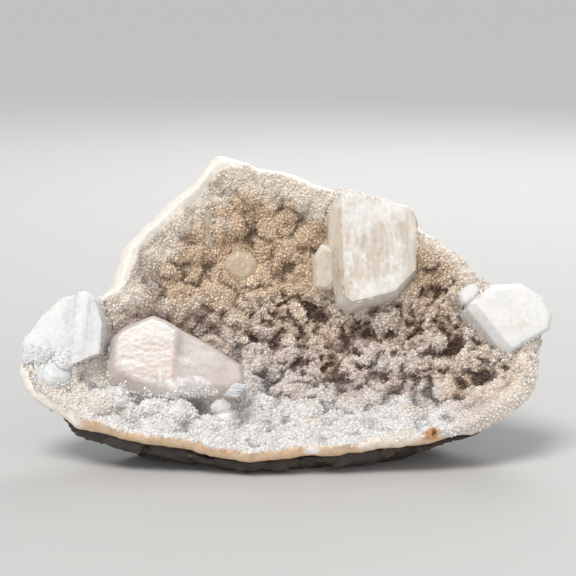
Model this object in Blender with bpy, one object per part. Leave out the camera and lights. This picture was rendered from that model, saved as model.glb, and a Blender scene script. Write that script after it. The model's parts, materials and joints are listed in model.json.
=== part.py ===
"""Apophyllite and stilbite cluster: a shard of a crystal-lined cavity in basalt, standing on its own rock.

The shard is a shallow shell. A break plane leans back across its mouth, a white chalcedony crust lines the
hollow behind that plane, and dark basalt backs the crust and makes the foot. Points on the shell are given as
u (to the right), v (up the break plane) and t (how far behind the smooth lining, away from the focus).
Lengths are in millimetres until they reach a mesh, which is in metres with +Z up and its front towards -Y.
"""

import math

import bmesh
import bpy
import numpy as np
from mathutils import Matrix, Vector, geometry, noise

MM = 0.001

# The break plane: its origin is the middle of the front lip.
LIP = Vector((0.0, -36.0, 8.0))
BREAK_LEAN = math.radians(53.0)
ALONG = Vector((0.0, math.cos(BREAK_LEAN), math.sin(BREAK_LEAN)))
OUTWARD = Vector((0.0, -math.sin(BREAK_LEAN), math.cos(BREAK_LEAN)))

# The shell: every layer is measured along lines that spread from the focus, in front of the mouth.
FOCUS = Vector((0.0, 36.0, 55.0))
MIDDLE = Vector((0.0, 37.0))
BOWL_DEPTH = 21.0
CRUST = 5.6
LIP_THINNING = 2.2
LAYER_GAP = 0.6
ROCK_AT_RIM = 1.6
ROCK_IN_MIDDLE = 19.0
HEEL_AT = Vector((0.0, 28.0))
HEEL_WIDTH, HEEL_DEPTH = 24.0, 7.0
ROCK_INSET = 0.045
ROCK_INSET_AT_LIP = 0.015

# Crystals are rooted this deep in the crust, in sockets that clear them all round.
ROOT_DEPTH = 2.4
SOCKET_GAP = 0.3

# Mesh spacings.
RIM_STEP = 3.3
DRUSE_STEP = 2.3
BACK_STEP = 6.0
ROCK_STEP = 4.4
CORE_STEP = 9.0

# How far the broken edge wanders in and out, over what length, and how far it bulges past the druse.
EDGE_CHIP, EDGE_CHIP_SIZE = 1.1, 6.0
EDGE_BULGE, EDGE_WANDER = 0.35, 0.6

# Between these shares of the way out, the bowl goes over from evened-out corners to the true ones.
SOFT_UP_TO, TRUE_FROM = 0.55, 0.92

# The blocks that cut a crystal's root reach this far beyond the edge and behind the lining.
CORE_REACH, CORE_DEPTH = 1.3, 60.0

# A crystal is cut from a cube of this size, and reaches this far behind its seat before its root is cut.
CRYSTAL_BLANK = 160.0
CRYSTAL_TAIL = 26.0

# The edge of the druse in the break plane, anticlockwise from the left end.
RIM = [
    (-67.5, 31), (-68, 24), (-66, 19.5), (-60, 14.5), (-55.5, 11.5), (-52, 9), (-45, 6.3), (-35.5, 4),
    (-25, 2.5), (-17, 1), (-9, -0.5), (-1, 0), (10, 1), (20.5, 2), (31, 3.5), (39, 4.5), (48.5, 7),
    (56, 11.5), (61.5, 16), (65.5, 20), (66.5, 23), (66, 28.5), (67.5, 32.5), (67.5, 37), (64, 42), (57, 46.5),
    (51.5, 51.5), (48, 56), (43, 60), (38, 64.5), (34, 69), (30, 71), (23, 74.5), (12, 78.5), (4.5, 81),
    (-4, 84), (-10, 86), (-17.5, 88), (-20, 86.5), (-24, 81), (-31.5, 73), (-37.5, 65.5), (-42.5, 59.5),
    (-43.5, 55), (-45.5, 48), (-52, 43.5), (-60, 37.5),
]

# Druse relief: bumps (+) and hollows (-) as (u, v, radius, height).
RELIEF = [
    (-34.5, 62, 7, -2.6), (-32, 51, 5, -1.8), (-25.5, 42, 5, -1.8), (13, 66, 8, -2.0), (13, 29, 6, -2.6),
    (2, 31, 5, -1.4), (41, 51, 6, -2.2), (36.5, 38, 6, -2.0), (48, 35, 6, -2.4), (54.5, 22, 3.5, -2.4),
    (-10, 71, 5, -1.6), (5, 76, 5, -1.0), (25, 40, 4, -1.4), (-8, 50, 7, 1.8), (5, 41, 7, 1.6),
    (30, 43, 6, 1.8), (17, 21, 7, 1.8), (-24, 53, 5, 1.4), (52, 44, 5, 1.6), (61, 27, 5, 1.4),
    (-40, 53, 5, 1.4), (-1, 19, 7, 1.6), (-18, 68, 5, 1.2), (41, 26, 6, 1.6), (-30, 13, 7, 1.8),
    (-50, 17, 6, 1.4), (30, 11, 6, 1.2),
]
LUMP_SIZE, LUMP_HEIGHT = 8.0, 3.6
BUD_SIZE, BUD_HEIGHT = 4.6, 1.5
DRUSE_MARGIN = 0.12

# Flats that broke across the back of the rock, as (u, v, how deep the flat bites in at that place).
CHIPS = [
    (-54, 26, 1.6), (-43, 46, 2.6), (-27, 66, 2.4), (-42, 20, 1.6), (-12, 66, 2.4), (6, 74, 2.6),
    (17, 58, 2.4), (32, 58, 2.6), (44, 20, 1.8), (49, 42, 2.6), (56, 26, 1.6),
]
CHIP_TILT = 0.12
ROCK_ROUGHNESS = 2.0

COLOURS = {
    "basalt_matrix": ((0.055, 0.047, 0.042), 0.9),
    "chalcedony_druse": ((0.62, 0.54, 0.46), 0.55),
    "apophyllite": ((0.83, 0.84, 0.80), 0.12),
    "stilbite": ((0.88, 0.80, 0.74), 0.25),
}


def smoothstep(low, high, x):
    share = min(1.0, max(0.0, (x - low) / (high - low)))
    return share * share * (3.0 - 2.0 * share)


# The outline and the bowl


def resampled(loop, step):
    """Points about one step apart round a closed loop of straight runs."""
    points = []
    for start, end in zip(loop, loop[1:] + loop[:1]):
        start, end = Vector(start), Vector(end)
        count = max(1, round((end - start).length / step))
        points += [start.lerp(end, i / count) for i in range(count)]
    return points


def chipped(loop, depth, size):
    """The loop with each point moved in or out from the middle, as a broken edge runs."""
    moved = []
    for point in loop:
        away = (point - MIDDLE).normalized()
        moved.append(point + away * depth * noise.noise(Vector((point.x, point.y, 3.7)) / size))
    return moved


EDGE = chipped(resampled(RIM, RIM_STEP), EDGE_CHIP, EDGE_CHIP_SIZE)


def reach_table(loop):
    """Angles round the middle with the loop's distance at each, sorted for interpolation."""
    pairs = sorted((math.atan2(p.y - MIDDLE.y, p.x - MIDDLE.x), (p - MIDDLE).length) for p in loop)
    return np.array([a for a, _ in pairs]), np.array([r for _, r in pairs])


EDGE_ANGLES, EDGE_REACHES = reach_table(EDGE)
SMOOTHING = [i * math.radians(4.0) for i in range(-5, 6)]


def reach(angle):
    return float(np.interp(angle, EDGE_ANGLES, EDGE_REACHES, period=2.0 * math.pi))


def soft_reach(angle):
    """The edge's distance with its corners evened out, for the middle of the bowl."""
    return sum(reach(angle + turn) for turn in SMOOTHING) / len(SMOOTHING)


def share_out(u, v):
    """How far a point is from the middle (0) to the edge of the druse (1)."""
    across, up = u - MIDDLE.x, v - MIDDLE.y
    distance, angle = math.hypot(across, up), math.atan2(up, across)
    soft, true = distance / soft_reach(angle), distance / reach(angle)
    return soft + (true - soft) * smoothstep(SOFT_UP_TO, TRUE_FROM, true)


def bowl_point(u, v):
    """The smooth lining, in break coordinates."""
    out = share_out(u, v)
    return Vector((u, v, -BOWL_DEPTH * max(0.0, 1.0 - out * out)))


def lipward(u, v):
    """How near the front lip a point is: 0 over most of the bowl, up to 1 along the lip."""
    across, up = u - MIDDLE.x, v - MIDDLE.y
    down = -up / max(1e-6, math.hypot(across, up))
    return smoothstep(0.42, 0.62, down) * min(1.0, share_out(u, v)) ** 2


def crust_depth(u, v):
    """How far behind the smooth lining the back of the crust lies."""
    return CRUST - LIP_THINNING * lipward(u, v)


def to_world(point):
    return LIP + Vector((1.0, 0.0, 0.0)) * point.x + ALONG * point.y + OUTWARD * point.z


def shell_point(u, v, behind):
    """The world point that lies `behind` the smooth lining, along the line from the focus."""
    lining = bowl_point(u, v)
    away = (lining - FOCUS).normalized()
    return to_world(lining + away * behind)


# Relief of the druse and the rock


def mound(point, size):
    """Rounded heads with sharp valleys between them, from 0 in a valley to 1 on a head."""
    nearest = noise.voronoi(point / size)[0][0]
    return max(0.0, 1.0 - 1.5 * nearest * nearest)


def druse_height(u, v):
    """How far the druse stands in front of the smooth lining."""
    point = Vector((u, v, 0.0))
    height = LUMP_HEIGHT * (mound(point, LUMP_SIZE) - 0.45)
    height += BUD_HEIGHT * (mound(point + Vector((40.0, 9.0, 5.0)), BUD_SIZE) - 0.45)
    for centre_u, centre_v, radius, lift in RELIEF:
        apart = math.hypot(u - centre_u, v - centre_v) / radius
        height += lift * math.exp(-apart * apart)
    inside = 1.0 - smoothstep(1.0 - DRUSE_MARGIN, 1.0, share_out(u, v))
    return height * inside


def whole_rock_depth(u, v):
    """How far behind the smooth lining the back of the rock would lie if nothing had chipped off it."""
    out = min(1.0, share_out(u, v))
    rim = crust_depth(u, v) + LAYER_GAP + ROCK_AT_RIM
    apart = (Vector((u, v)) - HEEL_AT).length / HEEL_WIDTH
    heel = HEEL_DEPTH * math.exp(-apart * apart)
    return rim + (ROCK_IN_MIDDLE - ROCK_AT_RIM + heel) * (1.0 - out**3)


def spreading_line(u, v):
    """Where the line through (u, v) leaves the smooth lining, and the way it runs."""
    start = shell_point(u, v, 0.0)
    return start, (shell_point(u, v, 1.0) - start).normalized()


def chip_flats():
    """A point on each flat at the back of the rock, with the way that the flat faces."""
    flats = []
    for u, v, bite in CHIPS:
        _, away = spreading_line(u, v)
        tilt = CHIP_TILT * Vector([noise.noise(Vector((u, v, 5.0 + 9.0 * axis)) / 7.3) for axis in range(3)])
        flats.append((shell_point(u, v, whole_rock_depth(u, v) - bite), (away + tilt).normalized()))
    return flats


def rock_depth(u, v, flats):
    """How far behind the smooth lining the chipped, rough back of the rock lies."""
    depth = whole_rock_depth(u, v)
    start, away = spreading_line(u, v)
    for point, facing in flats:
        closing = away.dot(facing)
        if closing > 0.1:
            depth = min(depth, (point - start).dot(facing) / closing)
    out = min(1.0, share_out(u, v))
    rough = ROCK_ROUGHNESS * noise.fractal(Vector((u, v, 8.0)) / 12.0, 0.9, 2.1, 3)
    least = crust_depth(u, v) + LAYER_GAP + ROCK_AT_RIM
    return max(least, depth + rough * (1.0 - out**4))


# Meshes


def spread(loop, step):
    """A triangle mesh that fills the loop: the loop's own points first, then an even field inside it."""
    low = Vector((min(p.x for p in loop), min(p.y for p in loop)))
    high = Vector((max(p.x for p in loop), max(p.y for p in loop)))
    limit = 0.55 * step
    inner = []
    row, height = 0, low.y
    while height < high.y:
        across = low.x + (0.5 * step if row % 2 else 0.0)
        while across < high.x:
            here = Vector((across, height))
            if inside_loop(here, loop) and min((here - p).length for p in loop) > limit:
                inner.append(here)
            across += step
        height += step * math.sqrt(0.75)
        row += 1
    filled = geometry.delaunay_2d_cdt(list(loop) + inner, [], [list(range(len(loop)))], 1, 1e-6)
    return filled[0], filled[2]


def inside_loop(point, loop):
    crossings = False
    for a, b in zip(loop, loop[1:] + loop[:1]):
        if (a.y > point.y) != (b.y > point.y):
            if point.x < a.x + (point.y - a.y) * (b.x - a.x) / (b.y - a.y):
                crossings = not crossings
    return crossings


def layer(bm, loop, front_step, front_at, back_step, back_at, edge_rows):
    """A closed slab: a front and a back skin over the same loop, with rows of edge points between them."""
    skins = []
    for step, place in ((front_step, front_at), (back_step, back_at)):
        points, faces = spread(loop, step)
        verts = [bm.verts.new(place(p.x, p.y) * MM) for p in points]
        for face in faces:
            bm.faces.new([verts[i] for i in face])
        skins.append(verts[: len(loop)])
    rows = [skins[0]] + [[bm.verts.new(row(p) * MM) for p in loop] for row in edge_rows] + [skins[1]]
    for near, far in zip(rows, rows[1:]):
        for i in range(len(loop)):
            j = (i + 1) % len(loop)
            bm.faces.new((near[i], near[j], far[j], far[i]))
    bmesh.ops.recalc_face_normals(bm, faces=bm.faces)


def cut_off(bm, facing, distance):
    """Cut away what lies beyond a plane and close the cut with one flat face."""
    everything = bm.verts[:] + bm.edges[:] + bm.faces[:]
    cut = bmesh.ops.bisect_plane(
        bm, geom=everything, dist=1e-6, plane_co=facing * distance, plane_no=facing, clear_outer=True
    )
    rim = [e for e in cut["geom_cut"] if isinstance(e, bmesh.types.BMEdge)]
    if rim:
        bmesh.ops.edgeloop_fill(bm, edges=rim)


def new_object(name, bm, smooth_degrees=None):
    mesh = bpy.data.meshes.new(name)
    bm.to_mesh(mesh)
    bm.free()
    if smooth_degrees is not None:
        mesh.shade_smooth()
        mesh.set_sharp_from_angle(angle=math.radians(smooth_degrees))
    made = bpy.data.objects.new(name, mesh)
    bpy.context.scene.collection.objects.link(made)
    return made


def make_helper(obj):
    obj.hide_render = True
    obj.display_type = "WIRE"
    return obj


def add_boolean(obj, operation, other):
    modifier = obj.modifiers.new(operation.title() + " " + other.name, "BOOLEAN")
    modifier.operation = operation
    modifier.solver = "EXACT"
    modifier.object = other


def material(name):
    (red, green, blue), roughness = COLOURS[name]
    made = bpy.data.materials.new(name)
    made.use_nodes = True
    shader = made.node_tree.nodes["Principled BSDF"]
    shader.inputs["Base Color"].default_value = (red, green, blue, 1.0)
    shader.inputs["Roughness"].default_value = roughness
    shader.inputs["Metallic"].default_value = 0.0
    return made


# The crust and the rock


def druse_crust():
    """The chalcedony lining with its druse; its broken edge bulges a little between front and back."""

    def front(u, v):
        return shell_point(u, v, -druse_height(u, v))

    def back(u, v):
        return shell_point(u, v, crust_depth(u, v))

    def edge_row(share):
        def at(point):
            wander = EDGE_WANDER * noise.noise(Vector((point.x, point.y, 20.0 * share)) / 5.0)
            out = (point - MIDDLE).normalized() * (EDGE_BULGE + wander)
            inner = shell_point(*point, crust_depth(*point) * share)
            return inner + Vector((out.x, 0.0, 0.0)) + ALONG * out.y

        return at

    bm = bmesh.new()
    layer(bm, EDGE, DRUSE_STEP, front, BACK_STEP, back, [edge_row(0.33), edge_row(0.7)])
    return new_object("druse_crust", bm, 50)


def basalt_matrix():
    """The rock behind the crust, cut off level where it stands."""

    def drawn_in(u, v):
        kept = 1.0 - ROCK_INSET + (ROCK_INSET - ROCK_INSET_AT_LIP) * lipward(u, v)
        return MIDDLE.x + (u - MIDDLE.x) * kept, MIDDLE.y + (v - MIDDLE.y) * kept

    def front(u, v):
        u, v = drawn_in(u, v)
        return shell_point(u, v, crust_depth(u, v) + LAYER_GAP)

    def back(u, v):
        u, v = drawn_in(u, v)
        return shell_point(u, v, rock_depth(u, v, flats))

    flats = chip_flats()
    bm = bmesh.new()
    layer(bm, EDGE, BACK_STEP, front, ROCK_STEP, back, [])
    cut_off(bm, Vector((0.0, 0.0, -1.0)), 0.0)
    bmesh.ops.recalc_face_normals(bm, faces=bm.faces)
    return new_object("basalt_matrix", bm, 40)


def core(name, behind):
    """A helper block: everything further behind the lining than this, out past the edge."""
    loop = [MIDDLE + (p - MIDDLE) * CORE_REACH for p in resampled(RIM, CORE_STEP)]
    bm = bmesh.new()
    layer(bm, loop, CORE_STEP, lambda u, v: shell_point(u, v, behind), 4 * CORE_STEP,
          lambda u, v: shell_point(u, v, behind + CORE_DEPTH), [])
    return make_helper(new_object(name, bm))


# The crystals


class Facets:
    """A convex crystal, held as planes in its own frame: x to its right, y up, z out of its broad face."""

    def __init__(self, seat, turn=0.0, lean=0.0, roll=0.0):
        facing = Matrix.Rotation(math.radians(turn), 3, "Z") @ Matrix.Rotation(math.radians(-lean), 3, "X")
        upright = Matrix(((1, 0, 0), (0, 0, -1), (0, 1, 0)))
        self.frame = facing @ upright @ Matrix.Rotation(math.radians(roll), 3, "Z")
        self.seat = Vector(seat)
        self.planes = []

    def plane(self, normal, point):
        normal = Vector(normal).normalized()
        self.planes.append((normal, normal.dot(Vector(point))))
        return self

    def block(self, outline, thickness, bevels=(), tail=CRYSTAL_TAIL):
        """Side faces through an anticlockwise outline, each with an optional (inset, drop) bevel in front."""
        for i, (start, end) in enumerate(zip(outline, outline[1:] + outline[:1])):
            run = Vector((end[0] - start[0], end[1] - start[1])).normalized()
            out = Vector((run.y, -run.x, 0.0))
            self.plane(out, (*start, 0.0))
            inset, drop = bevels[i] if i < len(bevels) and bevels[i] else (0.0, 0.0)
            if inset:
                slope = out * drop + Vector((0.0, 0.0, inset))
                self.plane(slope, Vector((*start, thickness - drop)))
        self.plane((0, 0, 1), (0, 0, thickness))
        return self.plane((0, 0, -1), (0, 0, -tail))

    def solid(self, name, grow=0.0):
        """The crystal as a mesh object, every plane moved out by `grow`."""
        bm = bmesh.new()
        bmesh.ops.create_cube(bm, size=CRYSTAL_BLANK)
        for normal, distance in self.planes:
            cut_off(bm, normal, distance + grow)
        bmesh.ops.remove_doubles(bm, verts=bm.verts, dist=1e-3)
        bm.transform(Matrix.Translation(self.seat * MM) @ self.frame.to_4x4() @ Matrix.Scale(MM, 4))
        bmesh.ops.recalc_face_normals(bm, faces=bm.faces)
        return new_object(name, bm)


def upper_apophyllite():
    """The largest crystal, hanging from the top rim: a striated prism face ended by two pyramid bevels."""
    outline = [(-7.6, -17.6), (6.0, -14.2), (11.6, -8.2), (12.3, 8.2), (10.6, 12.4), (-9.4, 18.0), (-13.0, 10.5),
               (-12.9, 3.0), (-11.0, -15.0)]
    bevels = [(3.2, 4.0), (2.4, 3.4), (0.5, 0.8), (1.2, 1.4), (1.4, 1.2), (1.5, 2.0), (3.6, 5.0), (2.6, 5.0),
              (3.4, 4.6)]
    main = Facets((25.6, 3.5, 54.2), turn=4, lean=10).block(outline, 4.5, bevels)
    beside = [(-3.6, -6.4), (1.5, -6.8), (4.6, -2.0), (4.2, 5.5), (-1.6, 6.6), (-4.0, 2.8)]
    companion = Facets((12.6, 6.0, 49.5), turn=-12, lean=4).block(beside, 4.0, [(1.2, 1.5)] * 6)
    return [main, companion]


def left_apophyllite():
    """The group at the left end: a broad crystal with a ridge, a rounded nodule and a splinter."""
    outline = [(-5.4, -10.0), (-0.6, -10.4), (9.0, -5.6), (9.2, 2.6), (7.2, 9.6), (4.4, 10.8), (-1.9, 9.2),
               (-6.9, 4.4), (-13.0, -3.6), (-10.0, -9.0)]
    bevels = [None, (1.0, 1.2), (1.2, 1.6), (0.8, 1.0), (0.8, 0.8), (0.8, 0.8), (0.8, 0.8), (1.2, 1.0),
              (0.8, 1.0), None]
    broad = Facets((-58.4, -13.6, 34.8), turn=-8, lean=16).block(outline, 6.5, bevels)
    broad.plane((0.34, 0.0, 1.0), (2.0, 0.0, 5.6))
    broad.plane((-0.10, 0.05, 1.0), (2.0, 0.0, 5.8))
    round_outline = [(5.6 * math.cos(a), 4.8 * math.sin(a)) for a in np.linspace(0, 2 * math.pi, 10)[:-1]]
    nodule = Facets((-64.2, -19.0, 23.2), turn=-18, lean=14, roll=12)
    nodule.block(round_outline, 4.6, [(2.2, 2.4)] * 9)
    splinter_outline = [(-4.6, -3.6), (2.0, -4.0), (5.2, 0.0), (2.4, 4.2), (-3.6, 4.6)]
    splinter = Facets((-66.4, -17.0, 30.0), turn=-24, lean=18, roll=10)
    splinter.block(splinter_outline, 4.6, [(1.0, 1.4)] * 5)
    return [broad, nodule, splinter]


def right_apophyllite():
    """The bright crystal at the right end, its corner pointing down, with a small prism beside it."""
    outline = [(-3.2, -10.9), (9.6, -4.2), (10.6, 0.2), (8.2, 4.8), (2.2, 8.8), (-5.4, 8.6), (-11.6, 4.4),
               (-13.0, 2.2)]
    bevels = [(0.9, 1.0), (1.4, 1.6), (1.4, 1.4), (1.6, 1.2), (1.6, 1.4), (1.4, 1.6), (1.2, 1.4), (2.1, 2.8)]
    main = Facets((63.2, -11.5, 38.4), turn=6, lean=22).block(outline, 5.5, bevels)
    small_outline = [(-3.6, -1.6), (-1.6, -2.6), (3.2, -1.2), (3.6, 1.4), (0.8, 2.6), (-2.8, 1.6)]
    small = Facets((52.0, -5.4, 43.6), turn=-6, lean=20, roll=30).block(small_outline, 3.6, [(0.8, 0.9)] * 6)
    return [main, small]


def stilbite_sheaf():
    """The blush stilbite lying in the bowl: blocky to the left and tapering like a sheaf to the right."""
    left_outline = [(-14.6, -6.8), (-9.0, -9.2), (-2.0, -11.0), (3.4, -10.8), (3.2, 8.6), (-1.2, 11.3),
                    (-5.0, 12.8), (-13.4, 8.8), (-16.6, 5.0), (-16.3, -4.4)]
    left_bevels = [(2.4, 3.0), (2.2, 2.8), (2.0, 2.8), (0.5, 0.6), (1.0, 1.4), (1.2, 1.6), (1.6, 2.0), (1.6, 2.2),
                   (2.2, 2.8), (2.4, 3.0)]
    blocky = Facets((-31.5, -14.0, 25.6), turn=-6, lean=34).block(left_outline, 7.0, left_bevels)
    right_outline = [(-3.0, -10.4), (15.6, -10.6), (20.4, -8.4), (19.9, -2.4), (10.2, 4.5), (0.0, 10.4),
                     (-3.0, 10.4)]
    right_bevels = [(1.8, 2.2), (1.6, 1.8), (1.4, 1.8), (1.4, 1.8), (1.2, 1.6), None, None]
    tapering = Facets((-31.5, -14.0, 25.6), turn=5, lean=37).block(right_outline, 6.6, right_bevels)
    return [blocky, tapering]


def round_apophyllite():
    """The stubby eight-sided crystal in the middle of the wall."""
    outline = [(4.9 * math.cos(a), 4.4 * math.sin(a)) for a in np.linspace(0.2, 0.2 + 2 * math.pi, 9)[:-1]]
    return [Facets((-12.4, 8.0, 49.4), turn=4, lean=6).block(outline, 4.4, [(1.3, 1.2)] * 8)]


def slim_apophyllite():
    """A slim upright crystal, half sunk in the druse above the round one."""
    outline = [(-1.6, -5.6), (1.2, -5.8), (2.0, 2.8), (1.0, 5.6), (-1.0, 5.8), (-2.0, 3.0)]
    return [Facets((-21.3, 12.8, 59.2), turn=-6, lean=4, roll=4).block(outline, 3.4, [(0.7, 0.8)] * 6)]


CRYSTALS = {
    "apophyllite_upper": (upper_apophyllite, "apophyllite"),
    "apophyllite_left": (left_apophyllite, "apophyllite"),
    "apophyllite_right": (right_apophyllite, "apophyllite"),
    "apophyllite_round": (round_apophyllite, "apophyllite"),
    "apophyllite_slim": (slim_apophyllite, "apophyllite"),
    "stilbite_sheaf": (stilbite_sheaf, "stilbite"),
}

# Little crystals grown fast to the druse: u, v, width, height and how far they stand out.
SPROUTS = [
    (-17.5, 70.5, 2.6, 2.4, 2.0), (43.5, 35.0, 3.6, 3.0, 2.6), (-17.5, 17.0, 4.2, 3.0, 3.0),
    (-24.5, 15.5, 3.6, 2.6, 2.8), (-12.0, 20.5, 3.4, 2.8, 3.0), (47.5, 47.5, 2.8, 2.4, 2.2),
    (-6.5, 33.0, 2.6, 2.4, 2.2), (20.0, 50.0, 2.6, 2.2, 2.0), (-38.0, 45.0, 2.8, 2.4, 2.2),
    (8.0, 11.0, 3.0, 2.4, 2.0), (58.0, 20.0, 3.0, 2.6, 2.2),
]
SPROUT_SEAT = 1.0


def joined(name, parts, grow, block):
    """The parts as one solid, every face moved out by `grow`, without what lies in the block behind them."""
    first, *others = [part.solid(f"{name}_{i}" if i else name, grow) for i, part in enumerate(parts)]
    for other in others:
        add_boolean(first, "UNION", make_helper(other))
    add_boolean(first, "DIFFERENCE", block)
    return first


def sprout(index, u, v, width, height, stand):
    """A little six-sided crystal that points out of the druse, leaning its own way."""
    corners = np.linspace(0.0, 2.0 * math.pi, 7)[:-1]
    outline = [(0.5 * width * math.cos(a), 0.5 * height * math.sin(a)) for a in corners]
    bevel = (0.24 * height, 0.35 * stand)
    tip = SPROUT_SEAT + stand + max(0.0, druse_height(u, v))
    lean = 30.0 * noise.noise(Vector((u, v, 1.0)))
    part = Facets(shell_point(u, v, SPROUT_SEAT), turn=0.5 * lean, lean=30.0 + lean, roll=2.0 * lean)
    part.block(outline, tip, [bevel] * 6, tail=SPROUT_SEAT)
    return make_helper(part.solid(f"sprout_{index}"))


def stand_on_origin():
    """Move everything so that the middle of the cluster's box is over the origin and its foot at zero."""
    graph = bpy.context.evaluated_depsgraph_get()
    corners = []
    for obj in bpy.data.objects:
        if not obj.hide_render:
            corners += [Vector(corner) for corner in obj.evaluated_get(graph).bound_box]
    middle = [0.5 * (min(c[i] for c in corners) + max(c[i] for c in corners)) for i in (0, 1)]
    for obj in bpy.data.objects:
        obj.location = (-middle[0], -middle[1], 0.0)


def main():
    for obj in list(bpy.data.objects):
        bpy.data.objects.remove(obj)

    colours = {name: material(name) for name in COLOURS}
    crust, rock = druse_crust(), basalt_matrix()
    crust.data.materials.append(colours["chalcedony_druse"])
    rock.data.materials.append(colours["basalt_matrix"])

    for index, numbers in enumerate(SPROUTS):
        add_boolean(crust, "UNION", sprout(index, *numbers))
    wide_core, deep_core = core("root_core", ROOT_DEPTH), core("socket_core", ROOT_DEPTH + SOCKET_GAP)
    for name, (parts, colour) in CRYSTALS.items():
        crystal = joined(name, parts(), 0.0, wide_core)
        crystal.data.materials.append(colours[colour])
        socket = joined(name + "_socket", parts(), SOCKET_GAP, deep_core)
        add_boolean(crust, "DIFFERENCE", make_helper(socket))
    stand_on_origin()


if __name__ == "__main__":
    main()
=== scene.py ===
# %% [markdown]
# # Apophyllite and stilbite cluster
# A shard of a crystal-lined cavity in basalt. Fine quartz covers a shallow bowl of chalcedony, and glassy
# apophyllite and one milky stilbite stand on it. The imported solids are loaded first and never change: each
# detailed piece made here starts as a copy of its solid, so it lies exactly where the solid lies.

# %% Load the solids
import json
import math

import bmesh
import bpy
import numpy as np
from mathutils import Matrix, Vector, noise
from mathutils.bvhtree import BVHTree
from mathutils.kdtree import KDTree

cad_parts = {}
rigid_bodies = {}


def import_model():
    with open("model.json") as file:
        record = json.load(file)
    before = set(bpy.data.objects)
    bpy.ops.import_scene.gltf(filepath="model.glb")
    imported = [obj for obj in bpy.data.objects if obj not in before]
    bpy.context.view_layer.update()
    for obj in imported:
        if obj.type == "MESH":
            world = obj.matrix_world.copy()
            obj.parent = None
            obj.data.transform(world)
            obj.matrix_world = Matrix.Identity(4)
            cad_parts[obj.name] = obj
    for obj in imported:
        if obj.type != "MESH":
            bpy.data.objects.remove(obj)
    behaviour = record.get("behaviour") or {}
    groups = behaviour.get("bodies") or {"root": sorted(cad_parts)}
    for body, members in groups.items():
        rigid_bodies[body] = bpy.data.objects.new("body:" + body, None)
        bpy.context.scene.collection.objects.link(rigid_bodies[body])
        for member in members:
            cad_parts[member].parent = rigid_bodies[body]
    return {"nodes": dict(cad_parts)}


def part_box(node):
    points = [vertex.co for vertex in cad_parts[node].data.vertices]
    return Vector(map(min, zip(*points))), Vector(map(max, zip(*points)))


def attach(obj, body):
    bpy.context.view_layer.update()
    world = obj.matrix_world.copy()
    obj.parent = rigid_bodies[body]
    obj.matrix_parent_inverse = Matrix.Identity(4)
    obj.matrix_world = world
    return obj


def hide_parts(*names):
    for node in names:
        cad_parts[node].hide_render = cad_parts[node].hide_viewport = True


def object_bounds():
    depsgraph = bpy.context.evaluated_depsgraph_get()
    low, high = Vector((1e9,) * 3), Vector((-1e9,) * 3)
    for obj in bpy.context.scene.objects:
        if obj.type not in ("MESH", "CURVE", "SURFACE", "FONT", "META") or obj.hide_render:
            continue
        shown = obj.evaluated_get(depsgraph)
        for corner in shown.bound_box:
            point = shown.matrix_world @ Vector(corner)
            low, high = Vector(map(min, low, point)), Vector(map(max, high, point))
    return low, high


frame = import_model()
cad_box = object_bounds()
MM = 0.001
low, high = Vector(cad_box[0]), Vector(cad_box[1])
print("solids:", len(frame["nodes"]), "box mm:", [round(1000 * s, 1) for s in high - low])

# %% [markdown]
# ## The view
# The photograph looks slightly down at the open side. A long lens a good half metre away keeps the perspective
# mild. The aim is measured from the box's low corner, so it stays put if the solids move a little.

# %% Camera
HOME = Vector((low.x + 72.62 * MM, low.y + 36.54 * MM, 0.0))
VIEW_ELEVATION, VIEW_DISTANCE = math.radians(12.0), 0.4528


def in_scene(thing):
    bpy.context.scene.collection.objects.link(thing)
    return thing


aim = HOME + Vector((1.3, 0.0, 44.3)) * MM
sight = Vector((0.0, math.cos(VIEW_ELEVATION), -math.sin(VIEW_ELEVATION)))
camera = in_scene(bpy.data.objects.new("camera", bpy.data.cameras.new("camera")))
camera.data.lens, camera.data.sensor_width = 100.0, 36.0
camera.data.clip_start, camera.data.clip_end = 0.01, 20.0
camera.location = aim - sight * VIEW_DISTANCE
camera.rotation_euler = sight.to_track_quat("-Z", "Y").to_euler()
bpy.context.scene.camera = camera
print("camera at mm", [round(1000 * c) for c in camera.location])

# %% [markdown]
# ## The light
# Soft daylight from above suits a pale specimen. A sun lamp with a very wide disc gives it: it lights the whole
# floor evenly, and its soft edge keeps the shadows mild. Weak panels from low in front and from the right lift the
# undersides, and a cool one from behind makes the clear crystals glow at their edges. The plain Standard view keeps
# colours as the materials state them.

# %% Lights and sky
SUN_DISC, SKY_COLOUR, SKY_STRENGTH = math.radians(26.0), (0.93, 0.95, 1.0, 1.0), 0.38
LAMPS = [  # name, kind, place in metres, size, strength, colour
    ("daylight", "SUN", (-0.28, -0.40, 1.0), None, 1.98, (1.0, 0.985, 0.96)),
    ("low_fill", "AREA", (-0.10, -0.75, 0.06), 0.50, 1.3, (1.0, 0.98, 0.95)),
    ("right_fill", "AREA", (0.60, -0.45, 0.35), 0.40, 0.6, (1.0, 0.97, 0.93)),
    ("rim_glow", "AREA", (0.15, 0.60, 0.55), 0.45, 2.4, (0.93, 0.97, 1.0)),
]
for name, kind, where, size, strength, colour in LAMPS:
    lamp = bpy.data.lights.new(name, kind)
    lamp.energy, lamp.color = strength, colour
    if kind == "SUN":
        lamp.angle = SUN_DISC
    else:
        lamp.shape, lamp.size = "SQUARE", size
    held = in_scene(bpy.data.objects.new(name, lamp))
    held.location = where
    held.rotation_euler = (aim - held.location).to_track_quat("-Z", "Y").to_euler()
sky = bpy.data.worlds.new("pale_sky")
sky.use_nodes = True
sky.node_tree.nodes["Background"].inputs["Color"].default_value = SKY_COLOUR
sky.node_tree.nodes["Background"].inputs["Strength"].default_value = SKY_STRENGTH
bpy.context.scene.world = sky
bpy.context.scene.view_settings.view_transform = "Standard"
print("lamps:", len(LAMPS))

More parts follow.
